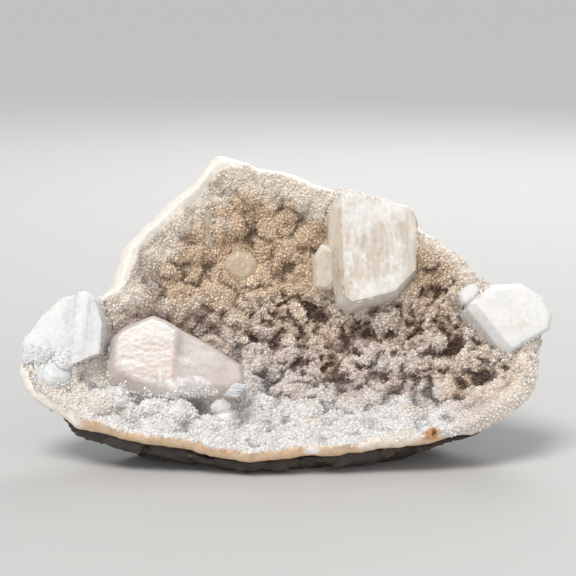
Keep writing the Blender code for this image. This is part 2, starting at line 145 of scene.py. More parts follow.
# %% [markdown]
# ## Mesh helpers
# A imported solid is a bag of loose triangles. Joining its doubles gives one closed skin that can be bevelled,
# remeshed or displaced. Displacement is done on arrays of positions, because a loop over every vertex is slow
# except where a noise has to be read point by point.

# %% Mesh helpers
def merged_copy(node):
    """A bmesh of the node's solid with its triangle corners joined."""
    bm = bmesh.new()
    bm.from_mesh(frame["nodes"][node].data)
    bmesh.ops.remove_doubles(bm, verts=bm.verts, dist=1e-6)
    bmesh.ops.recalc_face_normals(bm, faces=bm.faces)
    return bm


def search_tree(node):
    """A tree of the node's solid that finds its nearest face to a place."""
    bm = merged_copy(node)
    tree = BVHTree.FromBMesh(bm)
    bm.free()
    return tree


def smooth_below(mesh, degrees):
    mesh.shade_smooth()
    mesh.set_sharp_from_angle(angle=math.radians(degrees))


def new_piece(name, bm, smooth_degrees=None):
    """An object at the origin that holds the bmesh, shaded smooth below the given angle."""
    mesh = bpy.data.meshes.new(name)
    bm.to_mesh(mesh)
    bm.free()
    if smooth_degrees is not None:
        smooth_below(mesh, smooth_degrees)
    return in_scene(bpy.data.objects.new(name, mesh))


def as_plain_mesh(piece):
    """Bake the piece's modifiers into its mesh and remove them."""
    graph = bpy.context.evaluated_depsgraph_get()
    baked = bpy.data.meshes.new_from_object(
        piece.evaluated_get(graph), preserve_all_data_layers=True, depsgraph=graph
    )
    piece.modifiers.clear()
    piece.data = baked
    return piece


def remeshed(name, node, voxel):
    """An even skin of small faces over the node's solid."""
    piece = new_piece(name, merged_copy(node))
    modifier = piece.modifiers.new("even skin", "REMESH")
    modifier.mode, modifier.voxel_size = "VOXEL", voxel * MM
    return as_plain_mesh(piece)


def read(items, key, width, kind=np.float32):
    """One property of a mesh's vertices, edges or faces as an array."""
    flat = np.empty(len(items) * width, kind)
    items.foreach_get(key, flat)
    return flat.reshape(-1, width) if kind == np.int32 else flat.reshape(-1, width).astype(float)


def points_of(mesh):
    return read(mesh.vertices, "co", 3)


def normals_of(mesh):
    return read(mesh.vertex_normals, "vector", 3)


def move_points(mesh, points):
    mesh.vertices.foreach_set("co", points.astype(np.float32).ravel())
    mesh.update()


def step_up(low_end, high_end, x):
    """0 below the low end, 1 above the high end and a smooth rise between them."""
    share = np.clip((x - low_end) / (high_end - low_end), 0.0, 1.0)
    return share * share * (3.0 - 2.0 * share)


def eased(mesh, values, rounds):
    """Values on the vertices, each evened out with its neighbours a number of times."""
    first, second = read(mesh.edges, "vertices", 2, np.int32).T
    count = len(mesh.vertices)
    degree = np.bincount(first, minlength=count) + np.bincount(second, minlength=count)
    columns = values.reshape(count, -1).astype(float)
    for _ in range(rounds):
        total = np.stack([
            np.bincount(first, column[second], count) + np.bincount(second, column[first], count)
            for column in columns.T
        ], axis=1)
        columns = 0.5 * columns + 0.5 * total / degree[:, None]
    return columns.reshape(values.shape)


def ease_points(piece, rounds):
    """Even the piece's skin out, and return its points."""
    points = eased(piece.data, points_of(piece.data), rounds)
    move_points(piece.data, points)
    return points


def store(mesh, name, values):
    """Keep one number, or one colour, for each vertex."""
    if values.ndim == 1:
        mesh.attributes.new(name, "FLOAT", "POINT").data.foreach_set("value", values.astype(np.float32))
    else:
        four = np.concatenate([values, np.ones((len(values), 1))], axis=1).astype(np.float32)
        mesh.attributes.new(name, "FLOAT_COLOR", "POINT").data.foreach_set("color", four.ravel())


def finish_piece(piece, finishes, node=None):
    """Give a piece its finishes, in the order of its faces' material numbers, and hand it to the frame."""
    if len(piece.data.materials):
        piece.data.materials.clear()
    for finish in finishes:
        piece.data.materials.append(finish)
    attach(piece, "root")
    if node:
        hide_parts(node)
    piece.data.calc_loop_triangles()
    print(piece.name, len(piece.data.loop_triangles), "triangles")


print("nodes to dress:", sorted(frame["nodes"]))

# %% [markdown]
# ## Shared shader effects
# Two effects return in several finishes, so each is a node group with named sockets. `mottle` makes a colour
# lighter and darker in soft clouds. `fine_relief` gives a height for a Bump node, in grains of a chosen size. Short
# functions add the nodes that every finish needs.

# %% Shader helpers
def fill(node, **inputs):
    """Set inputs by name, or by place as in at0, to a value or to another node's socket."""
    for label, value in inputs.items():
        socket = node.inputs[int(label[2:])] if label.startswith("at") else node.inputs[label.replace("_", " ")]
        if isinstance(value, bpy.types.NodeSocket):
            node.id_data.links.new(value, socket)
        else:
            socket.default_value = value
    return node


def add_node(tree, kind, settings=None, **inputs):
    """A new node with its settings and its inputs."""
    node = tree.nodes.new(kind)
    for key, value in (settings or {}).items():
        setattr(node, key, value)
    return fill(node, **inputs)


def calculated(tree, operation, first, second, third=0.0):
    return add_node(tree, "ShaderNodeMath", {"operation": operation}, at0=first, at1=second, at2=third).outputs[0]


def ranged(tree, value, start, end, at_start, at_end):
    """The value moved from one range to another."""
    return add_node(tree, "ShaderNodeMapRange", at0=value, at1=start, at2=end, at3=at_start, at4=at_end).outputs[0]


def place_in(tree, stretch=None):
    """The piece's own coordinates, stretched if asked."""
    place = add_node(tree, "ShaderNodeTexCoord").outputs["Object"]
    if stretch is None:
        return place
    return add_node(tree, "ShaderNodeVectorMath", {"operation": "MULTIPLY"}, at0=place, at1=stretch).outputs[0]


def clouds_in(tree, place, scale, detail, roughness=0.5):
    return add_node(tree, "ShaderNodeTexNoise", Vector=place, Scale=scale, Detail=detail,
                    Roughness=roughness).outputs["Fac"]


def mixed(tree, share, first, second, blend_type="MIX"):
    return add_node(tree, "ShaderNodeMix", {"data_type": "RGBA", "blend_type": blend_type}, at0=share, at6=first,
                    at7=second).outputs[2]


def attribute(tree, name, output="Color"):
    return add_node(tree, "ShaderNodeAttribute", {"attribute_name": name}).outputs[output]


def scaled(tree, colour, by):
    return add_node(tree, "ShaderNodeVectorMath", {"operation": "SCALE"}, at0=colour, Scale=by).outputs[0]


def node_tree(name, kind, inputs, output):
    """A node group with named inputs and one output: the group, its input sockets and its output node."""
    group = bpy.data.node_groups.new(name, kind)
    for label, socket_kind, *value in inputs:
        socket = group.interface.new_socket(label, in_out="INPUT", socket_type="NodeSocket" + socket_kind)
        if value:
            socket.default_value = value[0]
    group.interface.new_socket(output[0], in_out="OUTPUT", socket_type="NodeSocket" + output[1])
    return group, group.nodes.new("NodeGroupInput").outputs, group.nodes.new("NodeGroupOutput")


print("helpers:", [helper.__name__ for helper in (calculated, ranged, place_in, clouds_in, mixed, attribute, scaled)])

# %% Shader groups
MOTTLE, given, result = node_tree("mottle", "ShaderNodeTree", [
    ("Color", "Color", (1, 1, 1, 1)), ("Scale", "Float", 200.0), ("Amount", "Float", 0.2), ("Detail", "Float", 4.0),
], ("Color", "Color"))
mottle_clouds = clouds_in(MOTTLE, place_in(MOTTLE), given["Scale"], given["Detail"], 0.62)
centred = calculated(MOTTLE, "SUBTRACT", mottle_clouds, 0.5)
swing = calculated(MOTTLE, "MULTIPLY_ADD", centred, given["Amount"], 1.0)
fill(result, Color=scaled(MOTTLE, given["Color"], swing))

FINE_RELIEF, given, result = node_tree("fine_relief", "ShaderNodeTree", [
    ("Scale", "Float", 1500.0), ("Stretch", "Vector", (1, 1, 1)),
], ("Height", "Float"))
fill(result, Height=clouds_in(FINE_RELIEF, place_in(FINE_RELIEF, given["Stretch"]), given["Scale"], 5.0, 0.6))
print("shader groups:", MOTTLE.name, FINE_RELIEF.name)


def start_material(name):
    made = bpy.data.materials.new(name)
    made.use_nodes = True
    return made, made.node_tree, made.node_tree.nodes["Principled BSDF"]


def mottled(tree, colour, scale, amount):
    """The colour after the mottle group."""
    return add_node(tree, "ShaderNodeGroup", {"node_tree": MOTTLE}, Color=colour, Scale=scale,
                    Amount=amount).outputs["Color"]


def bumped(tree, scale, strength, depth, stretch=(1, 1, 1)):
    """A normal from the fine relief group."""
    relief = add_node(tree, "ShaderNodeGroup", {"node_tree": FINE_RELIEF}, Scale=scale, Stretch=stretch)
    return add_node(tree, "ShaderNodeBump", Strength=strength, Distance=depth * MM,
                    Height=relief.outputs["Height"]).outputs["Normal"]


# %% [markdown]
# ## Where a point lies on the lining
# The broken mouth of the cavity lies in one leaning plane. u runs to the right in it and v up it, in
# millimetres, and the share tells how far a point is from the middle of the bowl (0) to the broken edge (1).
# These numbers repeat the ones that the solids were made from, so colours follow the real zones.

# %% Zones of the lining
BREAK_LEAN = math.radians(53.0)
LIP = np.array((0.0, -36.0, 8.0))
UP_THE_BREAK = np.array((0.0, math.cos(BREAK_LEAN), math.sin(BREAK_LEAN)))
OUT_OF_BREAK = np.array((0.0, -math.sin(BREAK_LEAN), math.cos(BREAK_LEAN)))
MIDDLE = np.array((0.0, 37.0))
RIM = np.array([
    (-67.5, 31), (-68, 24), (-66, 19.5), (-60, 14.5), (-55.5, 11.5), (-52, 9), (-45, 6.3), (-35.5, 4),
    (-25, 2.5), (-17, 1), (-9, -0.5), (-1, 0), (10, 1), (20.5, 2), (31, 3.5), (39, 4.5), (48.5, 7),
    (56, 11.5), (61.5, 16), (65.5, 20), (66.5, 23), (66, 28.5), (67.5, 32.5), (67.5, 37), (64, 42), (57, 46.5),
    (51.5, 51.5), (48, 56), (43, 60), (38, 64.5), (34, 69), (30, 71), (23, 74.5), (12, 78.5), (4.5, 81),
    (-4, 84), (-10, 86), (-17.5, 88), (-20, 86.5), (-24, 81), (-31.5, 73), (-37.5, 65.5), (-42.5, 59.5),
    (-43.5, 55), (-45.5, 48), (-52, 43.5), (-60, 37.5),
])
RIM_STEP, CHIP, CHIP_SIZE = 3.3, 1.1, 6.0


def rim_reach():
    """Angles round the middle with the rim's distance at each, along a rim that is chipped as it broke."""
    chipped = []
    for start, end in zip(RIM, np.roll(RIM, -1, axis=0)):
        count = max(1, round(float(np.linalg.norm(end - start)) / RIM_STEP))
        for i in range(count):
            point = start + (end - start) * i / count
            away = (point - MIDDLE) / np.linalg.norm(point - MIDDLE)
            chipped.append(point + away * CHIP * noise.noise(Vector((*point, 3.7)) / CHIP_SIZE))
    corners = np.array(chipped)
    steps = np.linspace(0.0, 1.0, 8, endpoint=False)
    along = np.roll(corners, -1, axis=0) - corners
    dense = (corners[:, None] + along[:, None] * steps[None, :, None]).reshape(-1, 2) - MIDDLE
    angles = np.arctan2(dense[:, 1], dense[:, 0])
    order = np.argsort(angles)
    return angles[order], np.hypot(*dense.T)[order]


RIM_ANGLES, RIM_REACHES = rim_reach()


def local_mm(points):
    """Points in metres as millimetres from the modelling origin."""
    return (points - np.array(HOME)) / MM


def zones(points):
    """u, v, share out and lipwardness of points given in metres."""
    local = local_mm(points) - LIP
    u, v = local[:, 0], local @ UP_THE_BREAK
    across, up = u - MIDDLE[0], v - MIDDLE[1]
    distance = np.hypot(across, up)
    share = distance / np.interp(np.arctan2(up, across), RIM_ANGLES, RIM_REACHES, period=2.0 * math.pi)
    lipward = step_up(0.30, 0.62, -up / np.maximum(distance, 1e-6)) * np.minimum(1.0, share) ** 2
    return u, v, share, lipward


def noise_places(points, size, seed):
    """The points in units of a size in millimetres, moved aside by the seed, ready for a noise."""
    scale, shift = 1.0 / (size * MM), Vector((seed, 2.0 * seed, -seed))
    return (Vector(point) * scale + shift for point in points)


def cloud(points, size, seed=0.0):
    """Soft noise from about -1 to 1 at each point, with blobs of the given size."""
    return np.array([noise.noise(place) for place in noise_places(points, size, seed)])


def mounds(points, size, seed=0.0):
    """Rounded heads with sharp valleys between them, from 0 in a valley to 1 on a head."""
    nearest = np.array([noise.voronoi(place)[0][0] for place in noise_places(points, size, seed)])
    return np.clip(1.0 - 1.5 * nearest * nearest, 0.0, 1.0)


def chips(points, size, seed=0.0):
    """Flat chips that each tilt their own way, as a hammer leaves them: a height of about -0.5 to 0.5."""
    heights = []
    for place in noise_places(points, size, seed):
        middle = noise.voronoi(place)[1][0]
        tilt = Vector([noise.noise(3.7 * middle + Vector((9.0 * axis, 0.0, 0.0))) for axis in range(3)])
        heights.append((place - middle).dot(tilt))
    return np.array(heights)


def smear(points, start, end, radius, ragged=0.5, seed=0.0):
    """1 on the line between two places in millimetres, falling to 0 at the radius from it with a ragged edge."""
    begin, along = np.array(start), np.array(end) - np.array(start)
    local = local_mm(points) - begin
    share = np.clip(local @ along / max(float(along @ along), 1e-9), 0.0, 1.0)
    apart = np.linalg.norm(local - share[:, None] * along, axis=1) / radius
    near = apart < 1.9
    apart[near] += ragged * cloud(points[near], 0.7 * radius, seed)
    return step_up(1.15, 0.6, apart)


print("rim steps:", len(RIM_ANGLES))

# %% [markdown]
# ## The crust
# On the real specimen a few millimetres of chalcedony line the cavity, in rounded heads with dark valleys, and
# its broken edge shows as a smooth pale band. Sculpting it by hand would be slow and hard to repeat. Here the
# solid is remeshed into an even skin, and its druse side is pushed out in heads of three sizes. A bank of druse
# lies against the foot of the stilbite.

# %% Crust mesh
CRUST_VOXEL = 0.66
LARGE_HEAD, LARGE_HEAD_HEIGHT = 7.0, 2.0
SMALL_HEAD, SMALL_HEAD_HEIGHT = 3.6, 1.25
TINY_HEAD, TINY_HEAD_HEIGHT = 1.9, 0.6
BANK, BANK_HEIGHT = ((-45.0, -21.5, 16.5), (-20.0, -24.5, 13.0), 4.2), 1.7

crust = remeshed("druse_lining", "druse_crust", CRUST_VOXEL)
crust_points = ease_points(crust, 2)
outward = normals_of(crust.data)
facing = eased(crust.data, outward @ OUT_OF_BREAK, 4)
u, v, share, lipward = zones(crust_points)
upper_left = step_up(-10.0, -20.0, u) * step_up(42.0, 54.0, v)
ragged_rim = 0.02 * cloud(crust_points, 2.6, 61.0)
druse_over_edge = 0.055 * step_up(34.0, 48.0, u) + 0.02 * step_up(-48.0, -58.0, u)
band = step_up(0.995, 1.008, share + 0.045 * upper_left + ragged_rim - druse_over_edge)
print("crust vertices:", len(crust_points), "on the broken edge:", int((band > 0.5).sum()))

# %% [markdown]
# ## Keep the druse clear of the crystals
# Each crystal stands in a socket of the crust. Nothing may grow inside a crystal, because it would show through
# the glass, so each point is asked how far it is from the nearest crystal's face, and whether it is inside.

# %% Distance to the crystals
CRYSTALS = ["apophyllite_upper", "apophyllite_left", "apophyllite_right", "apophyllite_round",
            "apophyllite_slim", "stilbite_sheaf"]
TREES = {node: search_tree(node) for node in CRYSTALS}


def is_inside(tree, place):
    """Whether a ray to the right leaves the solid: it crosses the skin an odd number of times."""
    start, crossings = place.copy(), 0
    for _ in range(40):
        found = tree.ray_cast(start, Vector((1.0, 0.0, 0.0)))[0]
        if found is None:
            break
        crossings += 1
        start = found + Vector((1e-6, 0.0, 0.0))
    return crossings % 2 == 1


def clearance(points, reach=3.0):
    """How far each point is outside the nearest crystal, in millimetres, and below zero inside one."""
    gaps = np.full(len(points), reach)
    for node, tree in TREES.items():
        corner, opposite = np.array(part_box(node))
        near = np.all((points > corner - reach * MM) & (points < opposite + reach * MM), axis=1)
        for i in np.nonzero(near)[0]:
            place = Vector(points[i])
            found, normal, _, gap = tree.find_nearest(place)
            behind_face = (place - found).dot(normal) < 0.0
            side = -1.0 if behind_face and is_inside(tree, place) else 1.0
            gaps[i] = min(gaps[i], side * gap / MM)
    return gaps


clear = clearance(crust_points)
print("crust points inside a crystal:", int((clear < 0).sum()))

# %% Raise the druse
on_druse = step_up(0.10, 0.4, facing) * (1.0 - band)
free = step_up(0.1, 1.2, clear)
drift, patches = cloud(crust_points, 22.0, 2.0), cloud(crust_points, 7.0, 4.0)
dusky = step_up(14.0, 24.0, v + 4.0 * drift) * step_up(60.0, 46.0, v) * step_up(-26.0, 0.0, u + 6.0 * drift)
swirl = np.stack([cloud(crust_points, 5.5, seed) for seed in (21.0, 22.0, 23.0)], axis=1)
swirled = crust_points + 2.6 * MM * swirl
uneven = np.clip(0.75 + 0.9 * cloud(crust_points, 8.0, 14.0), 0.15, 1.5)
heads = LARGE_HEAD_HEIGHT * (mounds(crust_points + 1.6 * MM * swirl, LARGE_HEAD, 71.0) - 0.45)
heads += 1.3 * cloud(crust_points, 10.0, 81.0)
heads += SMALL_HEAD_HEIGHT * uneven * (mounds(swirled, SMALL_HEAD, 3.0) - 0.45)
heads += TINY_HEAD_HEIGHT * (mounds(swirled, TINY_HEAD, 11.0) - 0.45) + 0.45 * cloud(swirled, 1.5, 33.0)
pitted = cloud(swirled, 3.2, 41.0) + 0.35 * cloud(crust_points, 1.3, 43.0)
pits = step_up(0.20, 0.46, pitted) * (0.2 + 0.8 * dusky)
heads = heads * (1.0 - 0.25 * dusky) - 0.7 * pits
ripple = 0.16 * cloud(crust_points, 2.4, 5.0) + 0.07 * cloud(crust_points, 0.9, 8.0)
raised = heads * on_druse * free * (1.0 - 0.8 * step_up(0.90, 0.99, share))
raised += ripple * (1.0 - on_druse) * free
beside_crystal = step_up(2.4, 0.9, clear)
banked = BANK_HEIGHT * smear(crust_points, *BANK, 0.6, 6.0) + 0.5 * beside_crystal
raised += banked * on_druse * step_up(0.0, 0.6, clear)
raised += 0.28 * step_up(-0.1, -0.5, facing)
crust_points = crust_points + outward * raised[:, None] * MM


def standing_out(rounds):
    """How far each point stands in front of its surroundings, in millimetres; more rounds look further."""
    around = eased(crust.data, crust_points, rounds)
    return np.einsum("ij,ij->i", crust_points - around, outward) / MM


standing, standing_near = standing_out(90), standing_out(14)
move_points(crust.data, crust_points)
crust.data.shade_smooth()
print("druse stands mm:", round(float(standing.min()), 2), "to", round(float(standing.max()), 2))

# %% [markdown]
# ## Colours of the lining
# The quartz is tan high on the wall, mauve in the middle, and white along the shelf, where clean crystals caught
# the last of the water. Its hollows and pits get painted shade, brown-black on the wall and grey-blue on the shelf,
# partly a real brown stain. The broken edge is white above and peach along the lip, with thin orange threads and a
# few rust stains. One colour, painted shade included, is worked out for each vertex and kept as an attribute, so the
# loose grains can inherit it.

# %% Lining colours
TAN, MAUVE, WHITE = np.array(((0.90, 0.725, 0.54), (0.74, 0.60, 0.52), (0.96, 0.95, 0.94)))
CREAM, PEACH, HOLLOW_SHADE_AND_STAIN = np.array(((0.96, 0.90, 0.81), (0.78, 0.57, 0.38), (0.10, 0.052, 0.030)))
ORANGE, BROWN, LIFT_UNDER_OVERHANG_TAN = np.array(((0.62, 0.25, 0.02), (0.12, 0.03, 0.005), (0.92, 0.86, 0.78)))
HEAD_CREAM, SHELF_SHADE_BLUE, DUSK = np.array(((1.0, 0.92, 0.85), (0.36, 0.34, 0.34), (0.36, 0.27, 0.235)))
TOUCHES = [  # from, to, radius, colour, strength
    ((39.2, -32.9, 11.4), (40.4, -32.8, 12.2), 1.9, ORANGE, 0.85),
    ((40.4, -32.9, 11.9), (40.7, -32.8, 12.4), 0.8, BROWN, 1.0),
    ((-13.6, 16.5, 78.4), (-12.6, 16.5, 78.2), 1.0, ORANGE, 0.8),
    ((6.4, -35.0, 7.0), (8.6, -35.0, 7.4), 1.1, WHITE, 0.9),
    # Painted light: a pale tan patch lifts the shade on the druse under the left crystal's overhang.
    ((-55.0, -19.0, 27.5), (-47.0, -18.0, 22.5), 4.4, LIFT_UNDER_OVERHANG_TAN, 0.75),
    ((-38.9, 1.0, 56.0), (-38.8, -4.0, 47.4), 1.1, HOLLOW_SHADE_AND_STAIN, 0.75),
    ((22.0, -36.0, 9.0), (34.0, -34.0, 10.5), 3.0, CREAM, 0.8),
    ((-37.0, -3.0, 50.0), (-29.0, -6.0, 44.0), 5.5, DUSK, 0.5),
]
SPROUTS = [(-17.5, 70.5), (43.5, 35.0), (-17.5, 17.0), (-24.5, 15.5), (-12.0, 20.5), (47.5, 47.5), (-6.5, 33.0),
           (20.0, 50.0), (-38.0, 45.0), (8.0, 11.0), (58.0, 20.0)]


def blend(base, other, amount):
    return base + (other - base) * amount[:, None]


def coat(colour):
    """One colour on every point of the crust."""
    return np.tile(colour, (len(u), 1))


small_patches = cloud(crust_points, 3.0, 51.0)
height_up = v + 7.0 * drift + 9.0 * patches + 6.0 * small_patches
tan_share = step_up(34.0, 54.0, height_up + 12.0 * step_up(30.0, 60.0, u))
tan_right = 0.8 * step_up(40.0, 52.0, u + 4.0 * drift) * step_up(12.0, 20.0, v + 3.0 * patches)
tan_share = np.maximum(tan_share, tan_right)
whiter_left = 8.0 * step_up(12.0, -12.0, u) + 6.0 * step_up(-20.0, -60.0, u)
white_height = height_up + 7.0 * cloud(crust_points, 5.5, 57.0) - whiter_left + 6.0 * step_up(25.0, 50.0, u)
white_share = step_up(40.0, 9.0, white_height)
rim_start = 0.81 + 0.11 * step_up(8.0, 26.0, u)
near_rim = step_up(rim_start, rim_start + 0.09, share + 0.03 * patches) * (1.0 - lipward)
# The heads of the lumps are made whiter the further they stand out, except high on the wall and on the white shelf.
tops = step_up(-0.5, 0.9, standing + 0.5 * small_patches) * step_up(62.0, 40.0, height_up)
lining = coat(MAUVE)
for colour, amount in ((TAN, tan_share), (WHITE, white_share * (1.0 - 0.6 * step_up(40.0, 55.0, u))),
                       (HEAD_CREAM, 0.85 * tops * (1.0 - white_share)), (CREAM, 0.85 * near_rim)):
    lining = blend(lining, colour, amount)

# Painted shade: the hollows between the heads and the pits are darkened, most in the dusky middle and least on the
# white shelf and near the rim; part of the brown is a real stain. The specks added to it are real dark grains.
depth_of_shade = (0.44 + 0.44 * dusky) * (1.0 - 0.30 * white_share) * (1.0 - 0.75 * near_rim)
hollow_shade_and_specks = step_up(0.30, -1.3, standing + 0.5 * patches) + 0.6 * step_up(0.05, -0.45, standing_near) + 0.6 * pits
specks = step_up(0.12, 0.40, cloud(crust_points, 0.95, 91.0)) * (0.30 + 0.70 * dusky) * (1.0 - 0.15 * white_share)
hollow_shade_and_specks = np.clip(hollow_shade_and_specks * depth_of_shade + 0.55 * specks, 0.0, 0.95)
# The painted shade goes towards brown-black, and towards grey-blue on the white shelf.
lining = blend(lining, blend(coat(HOLLOW_SHADE_AND_STAIN), SHELF_SHADE_BLUE, 0.8 * white_share), hollow_shade_and_specks * on_druse)

edge_tone = lipward + 0.3 * drift + 0.35 * cloud(crust_points, 4.5, 17.0)
edge_colour = blend(coat(CREAM), PEACH, step_up(0.15, 0.8, edge_tone))
threads = step_up(0.10, 0.03, np.abs(cloud(crust_points, 4.0, 19.0))) * step_up(0.3, 0.7, lipward)
lining = blend(lining, blend(edge_colour, ORANGE, 0.35 * threads), band)
sprouting = np.max([step_up(2.3, 1.5, np.hypot(u - middle[0], v - middle[1])) for middle in SPROUTS], axis=0)
lining = blend(lining, CREAM, 0.8 * sprouting)
for seed, (start, end, radius, colour, strength) in enumerate(TOUCHES):
    lining = blend(lining, colour, strength * smear(crust_points, start, end, radius, 0.5, float(seed)))
lining = np.clip(lining, 0.0, 1.0)
store(crust.data, "lining_color", lining)
# This mask is 1 on the broken edge and up to 0.65 in the white and rim zones: there the painted shade between the
# grains is left off or kept light, and the surface is smoother.
store(crust.data, "broken_edge", np.maximum(band, 0.65 * np.maximum(white_share, near_rim)))
print("white share:", round(float(white_share.mean()), 2), "tan share:", round(float(tan_share.mean()), 2))

# %% Lining material
LINING, tree, shader = start_material("chalcedony_lining")
edge = attribute(tree, "broken_edge", "Fac")
# Painted shade between the grains: the lining under them is multiplied darker, except where the mask above is high.
ground = mixed(tree, calculated(tree, "SUBTRACT", 1.0, edge), attribute(tree, "lining_color"),
               (0.62, 0.53, 0.46, 1.0), "MULTIPLY")
fill(shader, Base_Color=mottled(tree, ground, 900.0, 0.5), Roughness=ranged(tree, edge, 0.0, 1.0, 0.6, 0.42),
     Metallic=0.0, IOR=1.54, Normal=bumped(tree, 2600.0, 0.5, 0.15))
finish_piece(crust, [LINING], "druse_crust")

# %% [markdown]
# ## The quartz druse
# Tens of thousands of quartz points, each well under a millimetre, cover the lining. Modelling them one by one
# is hopeless and a bump map would look flat from the side. Geometry Nodes scatter one small six-sided point over
# the druse with even spacing, tilt and scale each copy, and remember a random shade for it.

# %% One quartz point
def quartz_point(name, radius, shaft, tip):
    """A six-sided prism, or with no shaft a pyramid, with a tip and a closed foot, standing on the origin."""
    bm = bmesh.new()
    corners = [(radius * MM * math.cos(i * math.pi / 3), radius * MM * math.sin(i * math.pi / 3)) for i in range(6)]
    levels = [-0.5 * radius, shaft] if shaft else [0.0]
    rings = [[bm.verts.new((x, y, level * MM)) for x, y in corners] for level in levels]
    apex = bm.verts.new((0.0, 0.0, (shaft + tip) * MM))
    for i in range(6):
        j = (i + 1) % 6
        if shaft:
            bm.faces.new((rings[0][i], rings[0][j], rings[1][j], rings[1][i]))
        bm.faces.new((rings[-1][i], rings[-1][j], apex))
    bm.faces.new(rings[0][::-1])
    return new_piece(name, bm)


SHAPES = {"prism": quartz_point("prism", 0.36, 0.24, 0.36), "pyramid": quartz_point("pyramid", 0.34, 0.0, 0.52)}
print("faces on each shape:", {name: len(shape.data.polygons) for name, shape in SHAPES.items()})

# %% Scatter tree
def copying_tree(name, inputs):
    """An empty Geometry Nodes tree that will make copies of a shape, with the inputs that all such trees share."""
    shared = [("Geometry", "Geometry"), ("Shape", "Object"), ("Smallest", "Float"), ("Largest", "Float"),
              ("Seed", "Int"), ("Finish", "Material")]
    return node_tree(name, "GeometryNodeTree", shared + inputs, ("Geometry", "Geometry"))


def random_turn(tree, given, lowest, highest):
    return add_node(tree, "FunctionNodeRandomValue", {"data_type": "FLOAT_VECTOR"}, at0=lowest, at1=highest,
                    Seed=given["Seed"]).outputs[0]


def set_copies(tree, given, result, points, turn):
    """Set a copy of random size on each point, turn it, remember a random shade, and make all of them real."""
    shape = add_node(tree, "GeometryNodeObjectInfo", Object=given["Shape"]).outputs["Geometry"]
    size = add_node(tree, "FunctionNodeRandomValue", {"data_type": "FLOAT"}, at2=given["Smallest"],
                    at3=given["Largest"], Seed=given["Seed"]).outputs[1]
    placed = add_node(tree, "GeometryNodeInstanceOnPoints", Points=points, Instance=shape, Rotation=turn, Scale=size)
    shade = add_node(tree, "FunctionNodeRandomValue", {"data_type": "FLOAT"}, at2=0.0, at3=1.0, Seed=77).outputs[1]
    kept = add_node(tree, "GeometryNodeStoreNamedAttribute", {"data_type": "FLOAT", "domain": "INSTANCE"},
                    Geometry=placed.outputs[0], Name="grain_shade", Value=shade)
    real = add_node(tree, "GeometryNodeRealizeInstances", Geometry=kept.outputs[0])
    dressed = add_node(tree, "GeometryNodeSetMaterial", Geometry=real.outputs[0], Material=given["Finish"])
    fill(result, Geometry=dressed.outputs[0])


def through_tree(name, mesh, tree, **values):
    """The plain mesh that a Geometry Nodes tree makes from a mesh, as a new object."""
    host = in_scene(bpy.data.objects.new(name, mesh))
    modifier = host.modifiers.new(tree.name, "NODES")
    modifier.node_group = tree
    names = {item.name: item.identifier for item in tree.interface.items_tree if item.in_out == "INPUT"}
    for label, value in values.items():
        modifier[names[label]] = value
    return as_plain_mesh(host)


MOST_GRAINS = 4.0e6
SCATTER, given, result = copying_tree("quartz_scatter", [("Spacing", "Float"), ("Tilt", "Float")])
chance = add_node(SCATTER, "GeometryNodeInputNamedAttribute", {"data_type": "FLOAT"}, Name="druse")
spots = add_node(SCATTER, "GeometryNodeDistributePointsOnFaces", {"distribute_method": "POISSON"},
                 Mesh=given["Geometry"], Distance_Min=given["Spacing"], Density_Max=MOST_GRAINS,
                 Density_Factor=chance.outputs[0], Seed=given["Seed"])
against = calculated(SCATTER, "MULTIPLY", given["Tilt"], -1.0)
lowest = add_node(SCATTER, "ShaderNodeCombineXYZ", X=against, Y=against, Z=0.0).outputs[0]
highest = add_node(SCATTER, "ShaderNodeCombineXYZ", X=given["Tilt"], Y=given["Tilt"], Z=2.0 * math.pi).outputs[0]
turn = add_node(SCATTER, "FunctionNodeRotateRotation", {"rotation_space": "LOCAL"},
                Rotation=spots.outputs["Rotation"], Rotate_By=random_turn(SCATTER, given, lowest, highest))
set_copies(SCATTER, given, result, spots.outputs["Points"], turn.outputs[0])
print("scatter nodes:", len(SCATTER.nodes))

# %% Quartz material
QUARTZ, tree, shader = start_material("quartz_druse")
grain_shade = attribute(tree, "grain_shade", "Fac")
# Each grain takes the lining colour under it, painted shade in the hollows included, times a random tone.
lit = scaled(tree, attribute(tree, "lining_color"), ranged(tree, grain_shade, 0.0, 1.0, 0.74, 1.08))
fill(shader, Base_Color=mottled(tree, lit, 1500.0, 0.25), Metallic=0.0, IOR=1.544,
     Roughness=ranged(tree, grain_shade, 0.0, 1.0, 0.12, 0.32), Normal=bumped(tree, 5200.0, 0.25, 0.05))
print("quartz finish nodes:", len(tree.nodes))

# %% Grow the druse
DRUSE_LAYERS = [  # name, shape, spacing in millimetres, smallest, largest, tilt
    ("quartz_coarse", "prism", 1.10, 0.85, 1.30, 0.6), ("quartz_medium_a", "prism", 0.92, 0.62, 0.98, 0.8),
    ("quartz_medium_b", "prism", 0.92, 0.62, 0.98, 0.8), ("quartz_fine_a", "pyramid", 0.66, 0.6, 1.0, 1.0),
    ("quartz_fine_b", "pyramid", 0.66, 0.6, 1.0, 1.0),
]

growing = step_up(0.02, 0.25, facing + 0.45 * beside_crystal) * (1.0 - step_up(0.25, 0.75, band))
growing *= step_up(-0.25, 0.05, clear)
growing *= 1.0 - 0.6 * sprouting
store(crust.data, "druse", growing)
for seed, (name, shape, spacing, smallest, largest, tilt) in enumerate(DRUSE_LAYERS, 1):
    grown = through_tree(name, crust.data, SCATTER, Shape=SHAPES[shape], Spacing=spacing * MM, Smallest=smallest,
                         Largest=largest, Tilt=tilt, Seed=seed, Finish=QUARTZ)
    finish_piece(grown, [QUARTZ])
crust.data.attributes.remove(crust.data.attributes["druse"])

